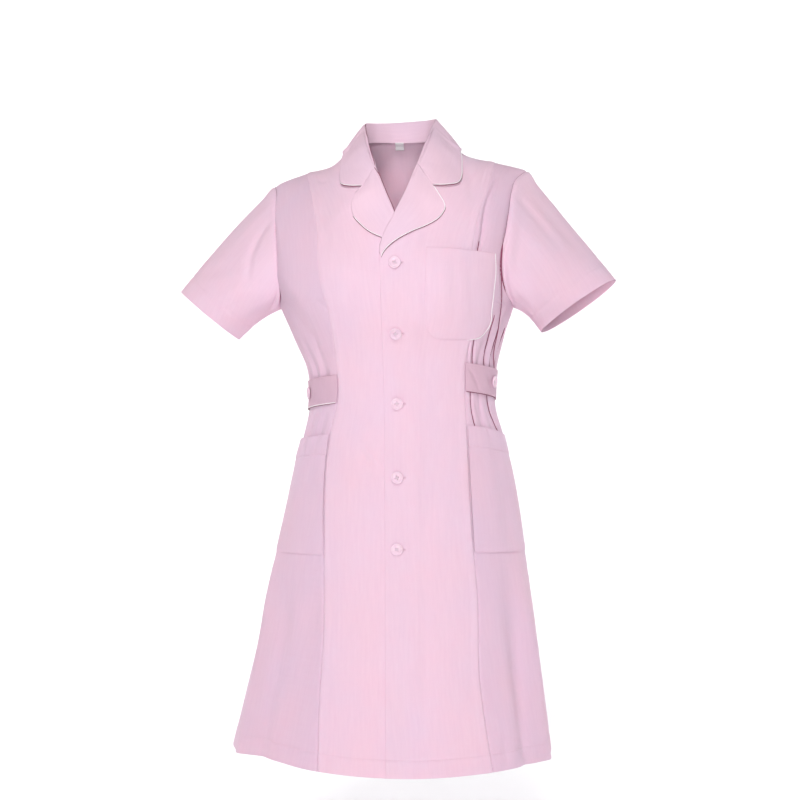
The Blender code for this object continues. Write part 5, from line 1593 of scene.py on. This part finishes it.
SIDE_CELL = {"left": 0.0017, "right": 0.0028}  # closer columns where there are sharp gathers
HEM_ROW = 9  # the row of stitches in fine_levels
FIRST, LAST = 2, -3  # the stitched rows and columns, beside the edges of a patch or tab
LAPEL_ROLL_COLUMN = ROLL_STEPS // 2  # along the middle of a lapel's roll, where the right lapel gets a painted shade line
COLLAR_HIGHLIGHTED = (slice(0, 54), slice(152, COLLAR_STATIONS))  # the front corners, between their ends, where the collar's edge gets its painted highlight
# along the collar's fold, between these stations, a painted shade line runs
COLLAR_FOLD_SHADED = slice(112, COLLAR_STATIONS)
LAPEL_HIGHLIGHTED = {"left": 0.0, "right": -0.117}  # the painted highlight along each lapel's edge lies below this
SKIRT_SEAMS_Z = -0.47  # the princess seams show as fine lines below this
ARMHOLE_SHADE = (-0.236, -0.158)  # lower and upper end of the painted shade along the front of the left armhole
# Radii of the strands that edge the buttonholes, lie in slits and seams, and paint shade along edges, folds
# and the left armhole.
BUTTONHOLE_RADIUS, SLIT_RADIUS, SEAM_RADIUS = 0.00055, 0.00030, 0.00040
EDGE_SHADE_RADIUS, FOLD_SHADE_RADIUS, ARMHOLE_SHADE_RADIUS = 0.0006, 0.00065, 0.0018


def finished(made, slot, material, *nodes):
    made.data.materials.clear()
    made.data.materials.append(material)
    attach(made, "root")
    if nodes:
        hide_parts(*nodes)


def cloth_pieces():
    """All pieces of cloth, each finished: (outer face, outs) by name, and the sleeves' hem rows."""
    v = fine_levels()
    plain, double = cloth_material("cloth"), cloth_material("double_cloth", layers=2)
    # the tab and side copies of the cloth are darkened as painted shade
    tab, side_cloth_painted_shade = cloth_material("tab_cloth", 2, TAB_SHADE_TINT), cloth_material("side_cloth_painted_shade", 1, SIDE_SHADE_TINT)
    looks = {"collar": double, "lapel": double, "waist": tab, "side": side_cloth_painted_shade, "pocket": side_cloth_painted_shade}
    objects, pieces, hem_rows = {}, {}, {}

    def keep(name, made, outside, outs):
        finished(made, "cloth", looks.get(name.split("_")[0], plain), name)
        objects[name], pieces[name] = made, (outside, outs)

    for side in SIDES:
        edge, princess = seam_a(FRONT_EDGE[side], v), seam_a(PRINCESS[side], v)
        outer = armhole_a(side, v, FRONT_X)
        name = f"front_{side}"
        keep(name, *front_panel(name, edge, princess, v, ("edge", "pressed")))
        name = f"side_front_{side}"
        keep(name, *front_panel(name, princess, outer, v, ("seam", "seam"), SIDE_CELL[side]))
    keep("back", *back(v))
    for side in SIDES:
        *made, hem_rows[side] = sleeve(side, v)
        keep(f"sleeve_{side}", *made)
    made, middle, out = collar()
    keep("collar", made, middle + out * DOUBLE / 2, out)
    for side in SIDES:
        made, grid, lapel_out = lapel(side, middle)
        keep(f"lapel_{side}", made, grid + lapel_out * DOUBLE / 2, lapel_out)
    keep("chest_pocket", *chest_pocket())
    for side in SIDES:
        keep(f"pocket_{side}", *lower_pocket(side))
        keep(f"waist_tab_{side}", *waist_tab(side))
    return pieces, hem_rows


def sewing(pieces, hem_rows, thread):
    """The rows of stitches of the hems, pockets and tabs."""

    def lines_of(name, spans):
        outside, outs = pieces[name]
        return [(outside[span], outs[span]) for span in spans]

    rows = []
    for name in ("front_left", "side_front_left", "back", "side_front_right", "front_right"):
        rows += lines_of(name, [np.s_[HEM_ROW, 1:-1]])
    for side in SIDES:
        round_it = np.append(np.arange(pieces[f"sleeve_{side}"][0].shape[1]), 0)
        rows += lines_of(f"sleeve_{side}", [np.s_[hem_rows[side], round_it]])
    finished(stitches("shell_hem_stitches", rows), "cloth", thread)

    rows = []
    for name in ("pocket_left", "pocket_right", "chest_pocket"):
        rows += lines_of(name, [np.s_[FIRST, 2:-2], np.s_[2:, FIRST], np.s_[2:, LAST]])
        if name != "chest_pocket":
            from_top = to_edges(pieces[name][0])[4]
            row = int(np.argmin(np.abs(from_top[:, from_top.shape[1] // 2] - POCKET_HEM)))
            rows += lines_of(name, [np.s_[row, 2:-2]])
    finished(stitches("shell_pocket_stitches", rows), "cloth", thread)

    rows = []
    for side, column in (("left", LAST), ("right", FIRST)):
        long_sides = [np.s_[FIRST, 3:-3], np.s_[LAST, 3:-3]]
        rows += lines_of(f"waist_tab_{side}", long_sides + [np.s_[2:-2, column]])
    finished(stitches("shell_tab_stitches", rows), "cloth", thread)


def edge_highlights_and_shades(pieces, shade_line_material):
    """The turned edges of collar, lapels, right tab and chest pocket, coloured as a painted highlight, and
    painted shade lines under them, under the left tab's edge, along the collar's fold and along the right
    lapel's roll.
    """
    path, direction, away = edge_of(pieces["collar"], np.s_[:, -1], np.s_[:, -2])
    edges = [(path[part], direction[part], away[part]) for part in COLLAR_HIGHLIGHTED]
    for side in SIDES:
        path, direction, away = edge_of(pieces[f"lapel_{side}"], np.s_[:, -1], np.s_[:, -2])
        part = path[:, 2] < LAPEL_HIGHLIGHTED[side]
        edges.append((path[part], direction[part], away[part]))
    tabs = {side: edge_of(pieces[f"waist_tab_{side}"], np.s_[0, 1:-1], np.s_[1, 1:-1]) for side in SIDES}
    edges += [tabs["right"], edge_of(pieces["chest_pocket"], np.s_[:, -1], np.s_[:, -2])]
    # the pale strands are a painted highlight along the edges that catch the light
    painted_edge_highlight = thread_material("painted_edge_highlight", PINK_EDGE_HIGHLIGHT, 0.0012)
    finished(line_strands("shell_edge_highlights", [edge[:2] for edge in edges]), "cloth", painted_edge_highlight)
    shaded = [shade_under(*edge) for edge in edges + [tabs["left"]]]
    # painted shade along the inner side of the collar's fold and along the right lapel's roll
    outside, outs = pieces["collar"]
    column = STAND_STEPS + 2
    shaded.append((outside[COLLAR_FOLD_SHADED, column], outs[COLLAR_FOLD_SHADED, column]))
    outside, outs = pieces["lapel_right"]
    path, direction = outside[:, LAPEL_ROLL_COLUMN], outs[:, LAPEL_ROLL_COLUMN]
    shaded.append((path + direction * 0.0005, direction))
    finished(line_strands("shell_edge_shades", shaded, EDGE_SHADE_RADIUS), "cloth", shade_line_material)


def seams_and_folds(pieces, shade_line_material, seam_shade_thread):
    """The fine lines of the open seams, thread darkened with painted shade of the groove, and painted shade
    along the bottoms of the folds and the front of the left armhole.
    """
    # a wide strand of painted shade beside the front of the left armhole
    outside, outs = pieces["sleeve_left"]
    ring, (low, high) = outside[0], ARMHOLE_SHADE
    part = (ring[:, 1] < 0) & (ring[:, 2] < high) & (ring[:, 2] > low)
    shade = [(ring[part] + outs[0, part] * 0.0002, outs[0, part])]
    finished(line_strands("shell_armhole_shade", shade, ARMHOLE_SHADE_RADIUS), "cloth", shade_line_material)
    # seam strands: thread, darkened with painted shade of the seam's groove
    seams = []
    for name, column in (("side_front_left", 0), ("side_front_right", -1)):
        outside, outs = pieces[name]
        skirt = outside[:, column, 2] < SKIRT_SEAMS_Z
        seams.append((outside[skirt, column], outs[skirt, column]))
    seams += [(outside[0], outs[0]) for outside, outs in (pieces[f"sleeve_{side}"] for side in SIDES)]
    finished(line_strands("shell_seams", seams, SEAM_RADIUS), "cloth", seam_shade_thread)
    shades = fold_shades([pieces["front_left"], pieces["side_front_left"]])
    finished(line_strands("shell_fold_shades", shades, FOLD_SHADE_RADIUS), "cloth", shade_line_material)


def main():
    pieces, hem_rows = cloth_pieces()
    finished(neck_label(), "label", label_material(), "neck_label")
    shown, threads = buttons(pieces)
    polished = button_material()
    for made, node in shown:
        finished(made, "button", polished, node)
    finished(threads, "button", thread_material("button_thread", BUTTON_THREAD))
    # the seam thread's colour is partly painted shade: the shade in a seam's groove or a slit
    thread, seam_shade_thread = thread_material("thread", PINK_THREAD), thread_material("seam", PINK_SEAM_SHADE)
    holes, slits = buttonholes(pieces["front_left"][0])
    finished(line_strands("shell_buttonholes", holes, BUTTONHOLE_RADIUS), "cloth", thread)
    # the slits' strands carry painted shade of the cut
    finished(line_strands("shell_buttonhole_slits", slits, SLIT_RADIUS), "cloth", seam_shade_thread)
    sewing(pieces, hem_rows, thread)
    # dark strands of painted shade under edges, along folds and beside the left armhole
    shade_line_material = thread_material("painted_shade_lines", PINK_SHADE)
    edge_highlights_and_shades(pieces, shade_line_material)
    seams_and_folds(pieces, shade_line_material, seam_shade_thread)
    camera()
    backdrop()
    lights()


main()
